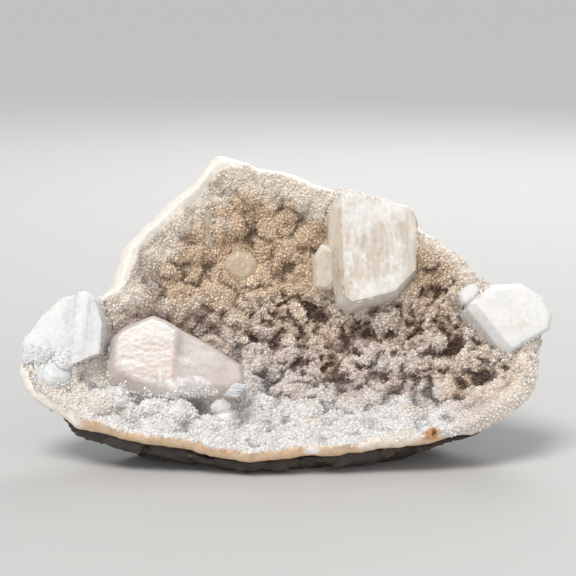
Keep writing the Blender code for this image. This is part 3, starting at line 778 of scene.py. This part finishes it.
# %% [markdown]
# ## The basalt
# The rock behind the crust is dense, dark and rough, with chipped flats, tiny filled gas bubbles and a little
# rust. The solid has its main flats already. Chips of two sizes that each tilt their own way, and fine noise, give
# the broken grain, and the foot is left level, because the specimen stands on it.

# %% Basalt mesh
BASALT_VOXEL, LARGE_CHIP, SMALL_CHIP = 0.75, 13.0, 5.5

rock = remeshed("basalt_rock", "basalt_matrix", BASALT_VOXEL)
rock_points = ease_points(rock, 2)
above_foot = step_up(0.2, 1.6, rock_points[:, 2] / MM)
rough = 4.5 * chips(rock_points, LARGE_CHIP, 3.0) + 2.2 * chips(rock_points, SMALL_CHIP, 5.0)
rough = rough + 0.25 * cloud(rock_points, 2.4, 1.0)
rough += 0.22 * cloud(rock_points, 1.1, 6.0) - 0.7 * step_up(0.84, 0.97, mounds(rock_points, 3.6, 9.0))
rough = np.clip(rough, -1.8, 0.9) - 2.0 * step_up(26.0, 42.0, zones(rock_points)[0])
rock_points = rock_points + normals_of(rock.data) * (rough * above_foot)[:, None] * MM
foot_level = rock_points[:, 2] < 0.25 * MM
rock_points[foot_level, 2] = 0.0
move_points(rock.data, rock_points)
rock.data.shade_smooth()
print("points on the foot:", int(foot_level.sum()))

# %% Basalt material
BASALT, tree, shader = start_material("dark_basalt")
place = place_in(tree)
stone_clouds = clouds_in(tree, place, 90.0, 6.0, 0.6)
tone = mixed(tree, stone_clouds, (0.022, 0.017, 0.014, 1), (0.105, 0.084, 0.068, 1))
bubbles = add_node(tree, "ShaderNodeTexVoronoi", Vector=place, Scale=560.0).outputs["Distance"]
few = ranged(tree, clouds_in(tree, place, 160.0, 1.0), 0.50, 0.66, 0.0, 0.7)
filled = calculated(tree, "MULTIPLY", ranged(tree, bubbles, 0.16, 0.22, 1.0, 0.0), few)
chalky = mixed(tree, filled, tone, (0.36, 0.33, 0.29, 1))
rusty = ranged(tree, clouds_in(tree, place, 55.0, 5.0), 0.56, 0.74, 0.0, 0.55)
worn = mixed(tree, rusty, chalky, (0.13, 0.062, 0.028, 1))
fill(shader, Base_Color=mottled(tree, worn, 1400.0, 1.0), Metallic=0.0, IOR=1.6,
     Roughness=ranged(tree, stone_clouds, 0.0, 1.0, 0.95, 0.7), Normal=bumped(tree, 1300.0, 0.9, 0.45))
finish_piece(rock, [BASALT], "basalt_matrix")

# %% [markdown]
# ## Crystal bodies
# The solids have flat faces and knife edges. A real crystal's edge catches the light as a thin bright line and its
# faces carry growth steps. The merged solid gets its flat faces back, a fine bevel on every edge, and then enough
# small triangles for its striations and steps to be real relief. The bevels keep a number of their own, so they can
# take an opaque white finish: a painted highlight for that thin bright line.

# %% Faceted copy
def faceted(node, bevel, step):
    """The node's solid in small triangles with bevelled edges; the bevels carry material number 1."""
    bm = merged_copy(node)
    bmesh.ops.dissolve_limit(bm, angle_limit=math.radians(0.6), verts=bm.verts, edges=bm.edges)
    sharp = [e for e in bm.edges if e.calc_face_angle(0.0) > math.radians(12.0)]
    worn = bmesh.ops.bevel(bm, geom=sharp, offset=bevel * MM, segments=2, profile=0.6, affect="EDGES",
                           clamp_overlap=True)
    # Finish 1 on the bevels is an opaque white edge, a painted highlight.
    for face in worn["faces"]:
        face.material_index = 1
    bmesh.ops.triangulate(bm, faces=bm.faces)
    for _ in range(7):
        long = [e for e in bm.edges if e.calc_length() > step * MM]
        if not long:
            break
        bmesh.ops.subdivide_edges(bm, edges=long, cuts=1)
        bmesh.ops.triangulate(bm, faces=[f for f in bm.faces if len(f.verts) > 3])
    return bm


def finish_numbers(piece):
    return read(piece.data.polygons, "material_index", 1, np.int32)[:, 0]


def faces_towards(piece, turn, lean, reach, ragged):
    """Give the flat faces that look along a direction finish number 2.

    Neighbouring faces up to `ragged` millimetres away join them here and there, so the border wanders.
    """
    turn, lean = math.radians(turn), math.radians(lean)
    direction = np.array((math.sin(turn) * math.cos(lean), -math.cos(turn) * math.cos(lean), math.sin(lean)))
    numbers, middles = finish_numbers(piece), read(piece.data.polygons, "center", 3)
    chosen = (read(piece.data.polygons, "normal", 3) @ direction > reach) & (numbers == 0)
    near = KDTree(int(chosen.sum()))
    for i in np.nonzero(chosen)[0]:
        near.insert(middles[i], int(i))
    near.balance()
    reached = ragged * MM * np.clip(0.3 + 1.6 * cloud(middles, 1.9, 27.0), 0.0, 1.0)
    numbers[chosen | (np.array([near.find(middle)[2] for middle in middles]) < reached)] = 2
    piece.data.polygons.foreach_set("material_index", numbers)


def faces_near(piece, start, end, radius):
    """Give the faces round a line between two places in millimetres finish number 2."""
    numbers = finish_numbers(piece)
    numbers[smear(read(piece.data.polygons, "center", 3), start, end, radius, 0.25, 5.0) > 0.5] = 2
    piece.data.polygons.foreach_set("material_index", numbers)


def relieved(piece, relief, smooth_degrees=24):
    """Push the piece's skin by relief(points), in millimetres."""
    points = points_of(piece.data)
    points = points + normals_of(piece.data) * relief(points)[:, None] * MM
    points[:, 2] = np.maximum(points[:, 2], 0.0)
    move_points(piece.data, points)
    smooth_below(piece.data, smooth_degrees)
    return piece


def stretched(points, along, across):
    """The points squeezed along the vertical, so that noise on them runs in upright streaks."""
    return points * np.array((across, across, along))


def terraces(values, steps):
    """Values turned into flat treads with steep risers between them."""
    scaled_up = values * steps
    base = np.floor(scaled_up)
    return (base + step_up(0.78, 1.0, scaled_up - base)) / steps


def painted(piece, colour, touches=()):
    """Keep a colour for each point: one tone, and ragged touches of others over it."""
    points = points_of(piece.data)
    tones = np.tile(np.array(colour), (len(points), 1))
    for seed, (start, end, radius, other, strength) in enumerate(touches):
        cover = smear(points, start, end, radius, 0.9, 3.0 + seed)
        near = cover > 0.0
        cover[near] *= 0.45 + 0.55 * step_up(-0.15, 0.2, cloud(stretched(points[near], 0.5, 1.0), 0.7, 9.0 + seed))
        tones = blend(tones, np.array(other), strength * cover)
    store(piece.data, "tone_color", np.clip(tones, 0.0, 1.0))
    return piece


print("crystals to make:", len(CRYSTALS))

# %% [markdown]
# ## Clear and cloudy glass
# Apophyllite is a true transparent mineral, so it gets plain transmission and its own IOR of 1.535. Glass blocks
# the lamps in a path tracer, which would leave the druse under it black. Shadow rays are therefore let through by
# a Transparent shader. The broad faces are pearly, because fine cleavage lies just under them, and the edges get
# an opaque white finish, a painted highlight for their thin bright line. Both are finishes of their own on the
# same closed body.

# %% Crystal materials
CRYSTAL_LIGHT = dict(Metallic=0.0, IOR=1.535, Subsurface_Weight=0.8, Subsurface_Scale=0.004,
                     Subsurface_Radius=(1.0, 0.92, 0.82))


def lets_light_through(tree, shader, through):
    """Shadow rays pass the surface by the given share, other rays meet its shader."""
    lit = add_node(tree, "ShaderNodeBsdfTransparent", Color=(1.0, 1.0, 1.0, 1.0)).outputs[0]
    share = calculated(tree, "MULTIPLY", add_node(tree, "ShaderNodeLightPath").outputs["Is Shadow Ray"], through)
    both = add_node(tree, "ShaderNodeMixShader", at0=share, at1=shader.outputs[0], at2=lit)
    fill(tree.nodes["Material Output"], Surface=both.outputs[0])


def crystal_material(name, clearness, roughness, absorb, density):
    """Transparent crystal, a little hazy in places."""
    made, tree, shader = start_material(name)
    gloss = ranged(tree, clouds_in(tree, place_in(tree), 520.0, 4.0), 0.35, 0.7, roughness * 0.6, roughness * 1.6)
    fill(shader, Base_Color=mottled(tree, attribute(tree, "tone_color"), 300.0, 0.2), Roughness=gloss,
         Transmission_Weight=clearness, Normal=bumped(tree, 900.0, 0.22, 0.12, (1.0, 1.0, 0.15)), **CRYSTAL_LIGHT)
    lets_light_through(tree, shader, 1.0)
    dim = add_node(tree, "ShaderNodeVolumeAbsorption", Color=(*absorb, 1.0), Density=density)
    fill(tree.nodes["Material Output"], Volume=dim.outputs[0])
    return made


def pearly_material(name, upright, shadow, gloss, through=0.6, contrast=0.3):
    """Cloudy crystal under a smooth skin: streaks of a darker tone in the piece's own colour."""
    made, tree, shader = start_material(name)
    streak = (1.0, 1.0, upright)
    veins = clouds_in(tree, place_in(tree, streak), 420.0, 6.0, 0.65)
    tone = mixed(tree, ranged(tree, veins, 0.62, 0.36, 0.0, 1.0), attribute(tree, "tone_color"), (*shadow, 1.0),
                 "MULTIPLY")
    fill(shader, Base_Color=mottled(tree, tone, 800.0, contrast), Coat_Weight=0.35, Coat_Roughness=0.08,
         Roughness=ranged(tree, veins, 0.0, 1.0, gloss * 1.4, gloss * 0.7),
         Normal=bumped(tree, 1200.0, 0.45, 0.16, streak), **CRYSTAL_LIGHT)
    lets_light_through(tree, shader, through)
    return made


CLEAR = crystal_material("clear_apophyllite", 0.52, 0.09, (0.97, 0.95, 0.90), 10.0)
FROSTED = crystal_material("frosted_apophyllite", 0.18, 0.30, (0.94, 0.96, 0.96), 10.0)
BEIGE = crystal_material("beige_apophyllite", 0.42, 0.20, (0.95, 0.88, 0.78), 20.0)
PEARL = pearly_material("pearly_face", 0.24, (0.84, 0.80, 0.75), 0.20, contrast=0.4)
SUGARY = pearly_material("sugary_face", 0.45, (0.90, 0.91, 0.91), 0.30)
VEIL = pearly_material("milky_veil", 0.12, (0.90, 0.88, 0.85), 0.40, through=0.3)
# Painted highlight: the bevels take this opaque white finish for the thin bright line on each crystal edge.
EDGE_HIGHLIGHT = pearly_material("rubbed_edge", 1.0, (0.93, 0.93, 0.92), 0.30, contrast=0.15)
print("crystal finishes:", [m.name for m in (CLEAR, FROSTED, BEIGE, PEARL, SUGARY, VEIL, EDGE_HIGHLIGHT)])

# %% The upper apophyllite
CRACKS = 8
SNOW, BUFF = (1.0, 1.0, 0.99), (0.66, 0.58, 0.49)
UPPER_TOUCHES = [
    ((20.2, 1, 63.5), (23, 0.5, 61), 2.3, SNOW, 1.0), ((19.8, -0.5, 56), (24.5, -1, 51.8), 0.8, SNOW, 1.0),
    ((25, -1.5, 45.5), (33.5, -2, 49), 1.3, SNOW, 1.0), ((30, -1, 53.5), (33, -1.2, 50.5), 0.7, SNOW, 1.0),
    ((27, -1, 50.5), (29.5, -1, 52.5), 0.8, SNOW, 1.0), ((18.2, 0.5, 60.5), (19, -1.5, 44), 0.6, SNOW, 0.9),
    ((24, 0, 57.5), (27, 0, 56), 0.6, SNOW, 0.8), ((28.5, 0.5, 64), (31.5, 0.5, 61.5), 1.2, SNOW, 0.7),
    ((17, 3.5, 69), (35, 3.5, 67.5), 4.2, SNOW, 0.85), ((26, 0.5, 62), (26.5, 0, 55), 1.8, BUFF, 0.35),
    ((33.5, 0.5, 62), (34.5, 0, 55), 1.4, BUFF, 0.3), ((21.5, -1, 49), (22, -1.5, 45), 1.8, BUFF, 0.3),
    ((18.5, 1.5, 66), (19, -1.5, 44), 1.7, SNOW, 0.7), ((21, 1.5, 66.5), (31, 1.5, 66), 3.2, SNOW, 0.7),
    ((21, -1.8, 45.5), (31, -2.2, 44.5), 2.0, SNOW, 0.8), ((32.5, 0, 58), (33, 0, 47), 1.3, SNOW, 0.5),
    ((12, 1, 54.5), (11.5, 0, 46.5), 4.0, (0.74, 0.65, 0.53), 0.9),
    # Painted light: a near-white band along the lower bevel, which faces down and gets little light from the lamps.
    ((16.5, -2, 39.5), (36, -2, 46), 2.8, (1.0, 0.98, 0.94), 0.9),
]


def upper_relief(points):
    streaks = cloud(stretched(points, 0.10, 1.0), 1.1, 4.0)
    fine = cloud(stretched(points, 0.06, 1.0), 0.45, 7.0)
    tread = terraces(cloud(stretched(points, 0.35, 1.0), 7.0, 2.0), 3.0)
    cracks = sum(smear(points, *touch[:3], 0.9, 3.0 + i) for i, touch in enumerate(UPPER_TOUCHES[:CRACKS]))
    return 0.07 * streaks + 0.03 * fine + 0.20 * tread + 0.22 * cracks * cloud(points, 0.7, 2.0) - 0.05


upper = new_piece("apophyllite_upper_body", faceted("apophyllite_upper", 0.22, 0.55))
faces_towards(upper, 4.0, 10.0, 0.985, 1.6)
faces_near(upper, (11.0, 2.0, 53.0), (11.0, 2.0, 46.0), 5.2)
painted(relieved(upper, upper_relief), (0.85, 0.79, 0.715), UPPER_TOUCHES)
finish_piece(upper, [CLEAR, EDGE_HIGHLIGHT, PEARL], "apophyllite_upper")

# %% [markdown]
# ## Milky hearts
# Seen through its bevels, a big crystal is white inside. It is full of fine cleavage cracks that stop short of the
# faces. A copy of the crystal, drawn in from its faces and roughened, gives that look: the clear skin outside bends
# the light before it meets the milky body.

# %% Hearts
HEART_STEP, HEART_RIPPLE = 0.6, 0.4


def milky_heart(node, inset, colour):
    """The node's solid drawn in by the inset along its face normals, with a rippled skin."""
    piece = remeshed(node + "_heart", node, HEART_STEP)
    points, tree = ease_points(piece, 3), TREES[node]
    normals = eased(piece.data, normals_of(piece.data), 6)
    normals /= np.maximum(np.linalg.norm(normals, axis=1), 1e-6)[:, None]
    ripples = cloud(points, 3.2, 5.0), cloud(points, 1.1, 3.0)
    wander = inset * (1.0 + HEART_RIPPLE * ripples[0] + 0.4 * HEART_RIPPLE * ripples[1])
    safe = []
    for after in map(Vector, points - normals * wander[:, None] * MM):
        found, normal, _, gap = tree.find_nearest(after)
        outside = (after - found).dot(normal) > -0.2 * MM
        safe.append(found - normal * 0.35 * MM if outside else after)
    move_points(piece.data, np.array(safe))
    ease_points(piece, 4)
    piece.data.shade_smooth()
    finish_piece(painted(piece, colour), [VEIL])


milky_heart("apophyllite_upper", 1.3, (0.90, 0.85, 0.77))
milky_heart("apophyllite_left", 1.2, (0.90, 0.91, 0.91))
milky_heart("apophyllite_right", 1.1, (0.92, 0.90, 0.88))

# %% The left group
NODULE, ROUGH_PATCH = (-62.4, -23.8, 25.2), ((-67.0, -22.0, 30.0), (-60.5, -22.0, 30.6))
RIDGE = ((-54.4, -15.8, 46.0), (-55.8, -19.9, 32.0))
NODULE_SWELL = 1.6
LIT_FACE_ICE, SLATE = (0.97, 0.98, 1.0), (0.66, 0.68, 0.68)
# Painted light and shade on the left crystal: the grey SLATE bands near the ridge are painted shade, the white line
# along the ridge is a painted highlight, and the pale patch on the face right of the ridge is painted light.
LEFT_TOUCHES = [
    ((-58.2, -16.3, 45), (-58.6, -19.9, 33), 2.4, SLATE, 0.5), (*RIDGE, 0.9, SNOW, 1.0),
    ((-52, -16.4, 44), (-52.6, -19.3, 34), 1.3, SLATE, 0.4), ((-50, -18, 42), (-50.5, -18.5, 34), 2.4, LIT_FACE_ICE, 0.7),
    ((-46.5, -19, 32.4), (-57.5, -20.5, 27.5), 0.8, SNOW, 0.9), (*ROUGH_PATCH, 3.2, SNOW, 0.9),
    (NODULE, NODULE, 4.6, SNOW, 0.9), ((-66, -15, 38), (-57, -13, 47.5), 2.4, SNOW, 0.8),
]


def left_relief(points):
    shell_like = np.abs(cloud(points, 4.2, 3.0)) * 0.5 + np.abs(cloud(points, 1.8, 6.0)) * 0.25
    tread = terraces(cloud(stretched(points, 0.5, 1.0), 4.0, 1.0), 3.0)
    apart = np.linalg.norm(local_mm(points) - np.array(NODULE), axis=1)
    rings = np.sin(apart / 0.24 + 2.5 * cloud(points, 3.0, 8.0)) * step_up(7.0, 5.0, apart)
    rugged = smear(points, *ROUGH_PATCH, 3.0, 0.6, 2.0) * cloud(points, 0.9, 12.0)
    feathers = cloud(stretched(points, 0.3, 1.0), 0.8, 15.0)
    ridge = smear(points, *RIDGE, 1.8, 0.3, 1.0)
    return (0.26 * shell_like + 0.16 * tread + 0.05 * cloud(points, 0.7, 9.0) + 0.12 * rings + 0.55 * rugged
            + 0.09 * feathers + 0.45 * ridge + NODULE_SWELL * step_up(6.5, 4.0, apart) - 0.12)


left = new_piece("apophyllite_left_body", faceted("apophyllite_left", 0.30, 0.5))
faces_towards(left, -8.0, 16.0, 0.80, 1.2)
faces_near(left, NODULE, NODULE, 8.0)
painted(relieved(left, left_relief, 32), (0.93, 0.94, 0.935), LEFT_TOUCHES)
finish_piece(left, [FROSTED, EDGE_HIGHLIGHT, SUGARY], "apophyllite_left")

# %% The right crystal
SMALL_PRISM = ((48.0, -12.0, 48.5), (51.0, -12.5, 46.0))
RIGHT_TOUCHES = [
    ((53.5, -16, 42), (58, -17, 33), 1.6, SNOW, 0.8), ((57.5, -16.5, 45), (66, -16, 45), 1.5, SNOW, 0.6),
    ((60, -17.5, 36), (67, -17.5, 38), 1.3, BUFF, 0.3), (*SMALL_PRISM, 3.0, (0.80, 0.69, 0.56), 0.9),
    ((56.5, -16.5, 39.5), (57.5, -17, 36.5), 0.8, SLATE, 0.3),
]


def bright_relief(points):
    tread = terraces(cloud(points, 5.0, 8.0), 3.0)
    return 0.13 * tread + 0.05 * cloud(points, 1.2, 2.0) + 0.02 * cloud(points, 0.5, 4.0) - 0.05


right = new_piece("apophyllite_right_body", faceted("apophyllite_right", 0.25, 0.5))
faces_towards(right, 6.0, 22.0, 0.97, 0.9)
faces_near(right, *SMALL_PRISM, 3.4)
painted(relieved(right, bright_relief), (0.94, 0.92, 0.89), RIGHT_TOUCHES)
finish_piece(right, [FROSTED, EDGE_HIGHLIGHT, SUGARY], "apophyllite_right")

# %% The round and the slim crystal
# Painted highlights: short white strokes on the front of the round and slim crystals stand in for glints.
GLINTS = ((-1.6, 1.6, 0.7), (0.9, 1.9, 0.5), (1.5, -0.2, 0.7))


def chipped_relief(points):
    tread = terraces(cloud(points, 2.6, 8.0), 2.0)
    return 0.30 * tread + 0.12 * cloud(points, 1.1, 2.0) + 0.03 * cloud(points, 0.5, 4.0) - 0.05


for node, bevel in (("apophyllite_round", 0.35), ("apophyllite_slim", 0.25)):
    corner, opposite = [local_mm(np.array(c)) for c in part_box(node)]
    middle, front = 0.5 * (corner + opposite), corner[1] + 1.5
    glints = [((middle[0] + dx, front, middle[2] + dz), (middle[0] + dx + 0.6, front, middle[2] + dz - 2.0),
               0.6, SNOW, strength) for dx, dz, strength in GLINTS]
    small = new_piece(node + "_body", faceted(node, bevel, 0.4))
    painted(relieved(small, chipped_relief), (0.86, 0.73, 0.57), glints)
    finish_piece(small, [BEIGE, BEIGE], node)

# %% [markdown]
# ## The stilbite
# Stilbite is milky, blush-coloured and pearly, and its edges look soft. Light goes a little way in and comes out
# warm, which is subsurface scattering. A remeshed skin, eased a few rounds, rounds its edges as no bevel would, and
# a colour kept on each point carries the yellowish middle and the pink band between its two halves.

# %% Stilbite
def stilbite_relief(points):
    blades = cloud(stretched(points, 1.0, 0.35), 0.9, 5.0)
    tread = terraces(cloud(points, 6.0, 6.0), 3.0)
    frost = smear(points, (-28.5, -23.8, 21.5), (-24.0, -24.0, 21.5), 3.0, 0.8, 4.0) * cloud(points, 0.8, 18.0)
    return 0.035 * tread + 0.02 * blades + 0.05 * cloud(points, 0.6, 2.0) + 0.35 * frost - 0.05


BLUSH, tree, shader = start_material("blush_stilbite")
blush_clouds = clouds_in(tree, place_in(tree, (0.35, 1.0, 1.0)), 260.0, 6.0, 0.62)
blushing = mixed(tree, ranged(tree, blush_clouds, 0.62, 0.38, 0.0, 1.0), attribute(tree, "tone_color"),
                 (0.87, 0.81, 0.79, 1.0), "MULTIPLY")
fill(shader, Base_Color=mottled(tree, blushing, 1000.0, 0.42), Metallic=0.0, IOR=1.50, Subsurface_Weight=0.40,
     Subsurface_Scale=0.0020, Subsurface_Radius=(1.0, 0.66, 0.48), Coat_Weight=0.25, Coat_Roughness=0.12,
     Roughness=ranged(tree, blush_clouds, 0.0, 1.0, 0.40, 0.24),
     Normal=bumped(tree, 1100.0, 0.3, 0.12, (0.4, 1.0, 1.0)))
BLUSH_TOUCHES = [
    ((-42, -19, 30), (-27, -21, 26), 10.0, (0.62, 0.575, 0.55), 0.85),
    ((-40, -19.5, 30), (-33.5, -20.5, 26.5), 5.0, (0.68, 0.60, 0.52), 0.7),
    ((-45, -19, 31.5), (-38, -19.5, 31), 0.9, (0.90, 0.89, 0.88), 0.7),
    ((-44.5, -19.5, 28), (-39, -20.5, 27.5), 0.8, (0.90, 0.89, 0.88), 0.6),
    ((-28, -20, 29), (-20, -21.5, 25.5), 1.1, (0.88, 0.86, 0.85), 0.6),
    ((-30.3, -20, 30.5), (-29.8, -23, 23.5), 1.7, (0.74, 0.60, 0.55), 0.75),
    ((-45.5, -18, 33), (-36, -17, 35.5), 2.2, (0.84, 0.80, 0.77), 0.7),
    ((-45, -21.5, 23.5), (-34, -24, 19.5), 2.6, (0.62, 0.53, 0.49), 0.8),
    ((-28.5, -23.8, 21), (-21, -24, 20.5), 3.4, (0.96, 0.96, 0.96), 1.0),
    ((-22, -21, 26.5), (-14, -20.5, 23), 3.2, (0.72, 0.66, 0.61), 0.5),
]
sheaf = remeshed("stilbite_body", "stilbite_sheaf", 0.5)
ease_points(sheaf, 4)
painted(relieved(sheaf, stilbite_relief, 60), (0.72, 0.67, 0.635), BLUSH_TOUCHES)
finish_piece(sheaf, [BLUSH], "stilbite_sheaf")

# %% [markdown]
# ## Blades and a glassy bit
# At its thin end the stilbite frays into white blades that lie on each other like pages, and a small glassy crystal
# sits under them. The stack repeats one thin plate, so Geometry Nodes lay it out along a line with a little random
# turn. The glassy bit is the hull round twenty fixed points, which gives it flat faces of uneven size.

# %% Blades
def thin_plate(half_height=0.17):
    """A plate 4.4 by 2.6 by 0.34 millimetres with clipped corners and worn edges."""
    outline = [(-2.2, -0.7), (-1.5, -1.3), (1.7, -1.3), (2.2, -0.6), (2.0, 0.9), (1.2, 1.3), (-1.6, 1.3), (-2.2, 0.6)]
    bm = bmesh.new()
    lower, above = [[bm.verts.new((x * MM, y * MM, z * MM)) for x, y in outline] for z in (-half_height, half_height)]
    bm.faces.new(lower[::-1])
    bm.faces.new(above)
    for i in range(len(outline)):
        j = (i + 1) % len(outline)
        bm.faces.new((lower[i], lower[j], above[j], above[i]))
    bmesh.ops.bevel(bm, geom=bm.edges[:], offset=0.07 * MM, segments=2, profile=0.6, affect="EDGES")
    return new_piece("plate", bm, 40.0)


STACK, given, result = copying_tree("blade_stack", [("Count", "Int"), ("Step", "Vector"), ("Fan", "Float")])
line = add_node(STACK, "GeometryNodeMeshLine", Count=given["Count"], Offset=given["Step"])
fan_turn = random_turn(STACK, given, scaled(STACK, (-1.0, -1.0, -2.5), given["Fan"]),
                       scaled(STACK, (1.0, 1.0, 2.5), given["Fan"]))
set_copies(STACK, given, result, line.outputs[0], fan_turn)

plate = thin_plate()
blades = through_tree("stilbite_blades", bpy.data.meshes.new("blades"), STACK, Shape=plate, Count=12, Smallest=0.72,
                      Largest=1.05, Step=(0.0002, 0.0001, 0.00034), Fan=0.07, Seed=5, Finish=SUGARY)
bpy.data.objects.remove(plate)
lean_blades = Matrix.Rotation(math.radians(-24.0), 4, "X") @ Matrix.Rotation(math.radians(8.0), 4, "Y")
blades.data.transform(Matrix.Translation(HOME + Vector((-14.2, -25.0, 19.6)) * MM) @ lean_blades)
finish_piece(painted(blades, (1.0, 1.0, 1.0)), [SUGARY])

# %% Glassy bit
BIT_PLACE, BIT_RADII, BIT_POINTS, GOLDEN_ANGLE = (-17.2, -23.2, 16.4), (2.8, 1.9, 1.9), 20, 2.39996

bm = bmesh.new()
for i in range(BIT_POINTS):
    height = 1.0 - 2.0 * (i + 0.5) / BIT_POINTS
    angle, across = GOLDEN_ANGLE * i, math.sqrt(1.0 - height * height)
    point = Vector((across * math.cos(angle), across * math.sin(angle), height))
    point *= 1.0 + 0.45 * noise.noise(2.3 * point + Vector((4.0, 0.0, 0.0)))
    bm.verts.new(Vector([p * r for p, r in zip(point, BIT_RADII)]) * MM)
hull = bmesh.ops.convex_hull(bm, input=bm.verts)
bmesh.ops.delete(bm, geom=[v for v in hull["geom_interior"] if isinstance(v, bmesh.types.BMVert)], context="VERTS")
bmesh.ops.bevel(bm, geom=bm.edges[:], offset=0.08 * MM, segments=1, affect="EDGES", clamp_overlap=True)
bmesh.ops.translate(bm, verts=bm.verts, vec=HOME + Vector(BIT_PLACE) * MM)
bit = new_piece("glassy_bit", bm, 20.0)
GLASSY = crystal_material("glassy_apophyllite", 0.50, 0.05, (0.96, 0.97, 0.97), 8.0)
finish_piece(painted(bit, (0.93, 0.94, 0.94)), [GLASSY])

# %% [markdown]
# ## Druse that creeps onto the crystals
# The quartz grew after some of the crystals had stopped, so it climbs their feet and covers a few of their edges.
# This also closes the fine gap round each crystal's root. The same scatter tree runs on the crystals, only where
# their skin lies close above the lining, and takes the lining's colour from there.

# %% Creeping druse
around = np.nonzero((clear > 0.1) & (clear < 2.6) & (facing > 0.2) & (band < 0.5))[0]
LINING_NEAR = KDTree(len(around))
for i in around:
    LINING_NEAR.insert(crust_points[i], int(i))
LINING_NEAR.balance()


def creeping_druse(piece, reach, climbs, seed):
    """Quartz on the foot of a crystal, up to about the reach in millimetres, and on the smears given."""
    points = points_of(piece.data)
    index = np.array([LINING_NEAR.find(point)[1] for point in points])
    away = points - crust_points[index]
    height, apart = np.einsum("ij,ij->i", away, outward[index]) / MM, np.linalg.norm(away, axis=1) / MM
    chance = step_up(1.0, 0.6, apart / reach + 0.9 * cloud(points, 2.4, seed)) * step_up(-0.5, -0.1, height)
    colours = lining[index]
    for start, end, radius, colour in climbs:
        cover = smear(points, start, end, radius, 0.9, seed)
        chance, colours = np.maximum(chance, cover), blend(colours, np.array(colour), cover)
    store(piece.data, "druse", chance)
    store(piece.data, "lining_color", colours)
    grown = through_tree("quartz_on_" + piece.name, piece.data, SCATTER, Shape=SHAPES["prism"], Spacing=0.62 * MM,
                         Smallest=0.6, Largest=1.15, Tilt=0.7, Seed=int(seed), Finish=QUARTZ)
    for label in ("druse", "lining_color"):
        piece.data.attributes.remove(piece.data.attributes[label])
    finish_piece(grown, [QUARTZ])


PALE = (1.0, 0.99, 0.98)
creeping_druse(upper, 1.5, [((15.0, 4.5, 71.0), (37.0, 5.0, 70.0), 2.4, PALE),
                            ((8.5, -0.5, 52.0), (9.0, -1.5, 45.5), 1.8, TAN)], 11.0)
creeping_druse(left, 1.8, [(*ROUGH_PATCH, 2.6, PALE), ((-69.0, -21.5, 31.5), (-68.0, -21.0, 27.0), 2.0, PALE)], 12.0)
creeping_druse(right, 1.3, [((50.0, -12.5, 47.0), (53.0, -12.5, 45.5), 1.6, PALE)], 13.0)
creeping_druse(sheaf, 2.4, [((-43.0, -22.0, 18.0), (-18.0, -23.5, 16.5), 2.6, PALE),
                            ((-27.5, -24.0, 19.0), (-20.0, -23.5, 18.5), 2.4, PALE)], 14.0)
for i, node in enumerate(("apophyllite_round", "apophyllite_slim")):
    creeping_druse(bpy.data.objects[node + "_body"], 1.5, [], 15.0 + i)
for shape in SHAPES.values():
    bpy.data.objects.remove(shape)

# %% [markdown]
# ## The floor
# A plain pale sheet carries the specimen. It is wide enough to fill the view from every side.

# %% Floor
FLOOR_RADIUS = 6.0

bm = bmesh.new()
bmesh.ops.create_circle(bm, cap_ends=True, radius=FLOOR_RADIUS, segments=64)
sheet = new_piece("pale_floor", bm)
PAPER, tree, shader = start_material("pale_paper")
fill(shader, Base_Color=mottled(tree, (0.60, 0.59, 0.575, 1.0), 30.0, 0.03), Roughness=0.85, Metallic=0.0)
sheet.data.materials.append(PAPER)
print("floor radius m:", FLOOR_RADIUS)
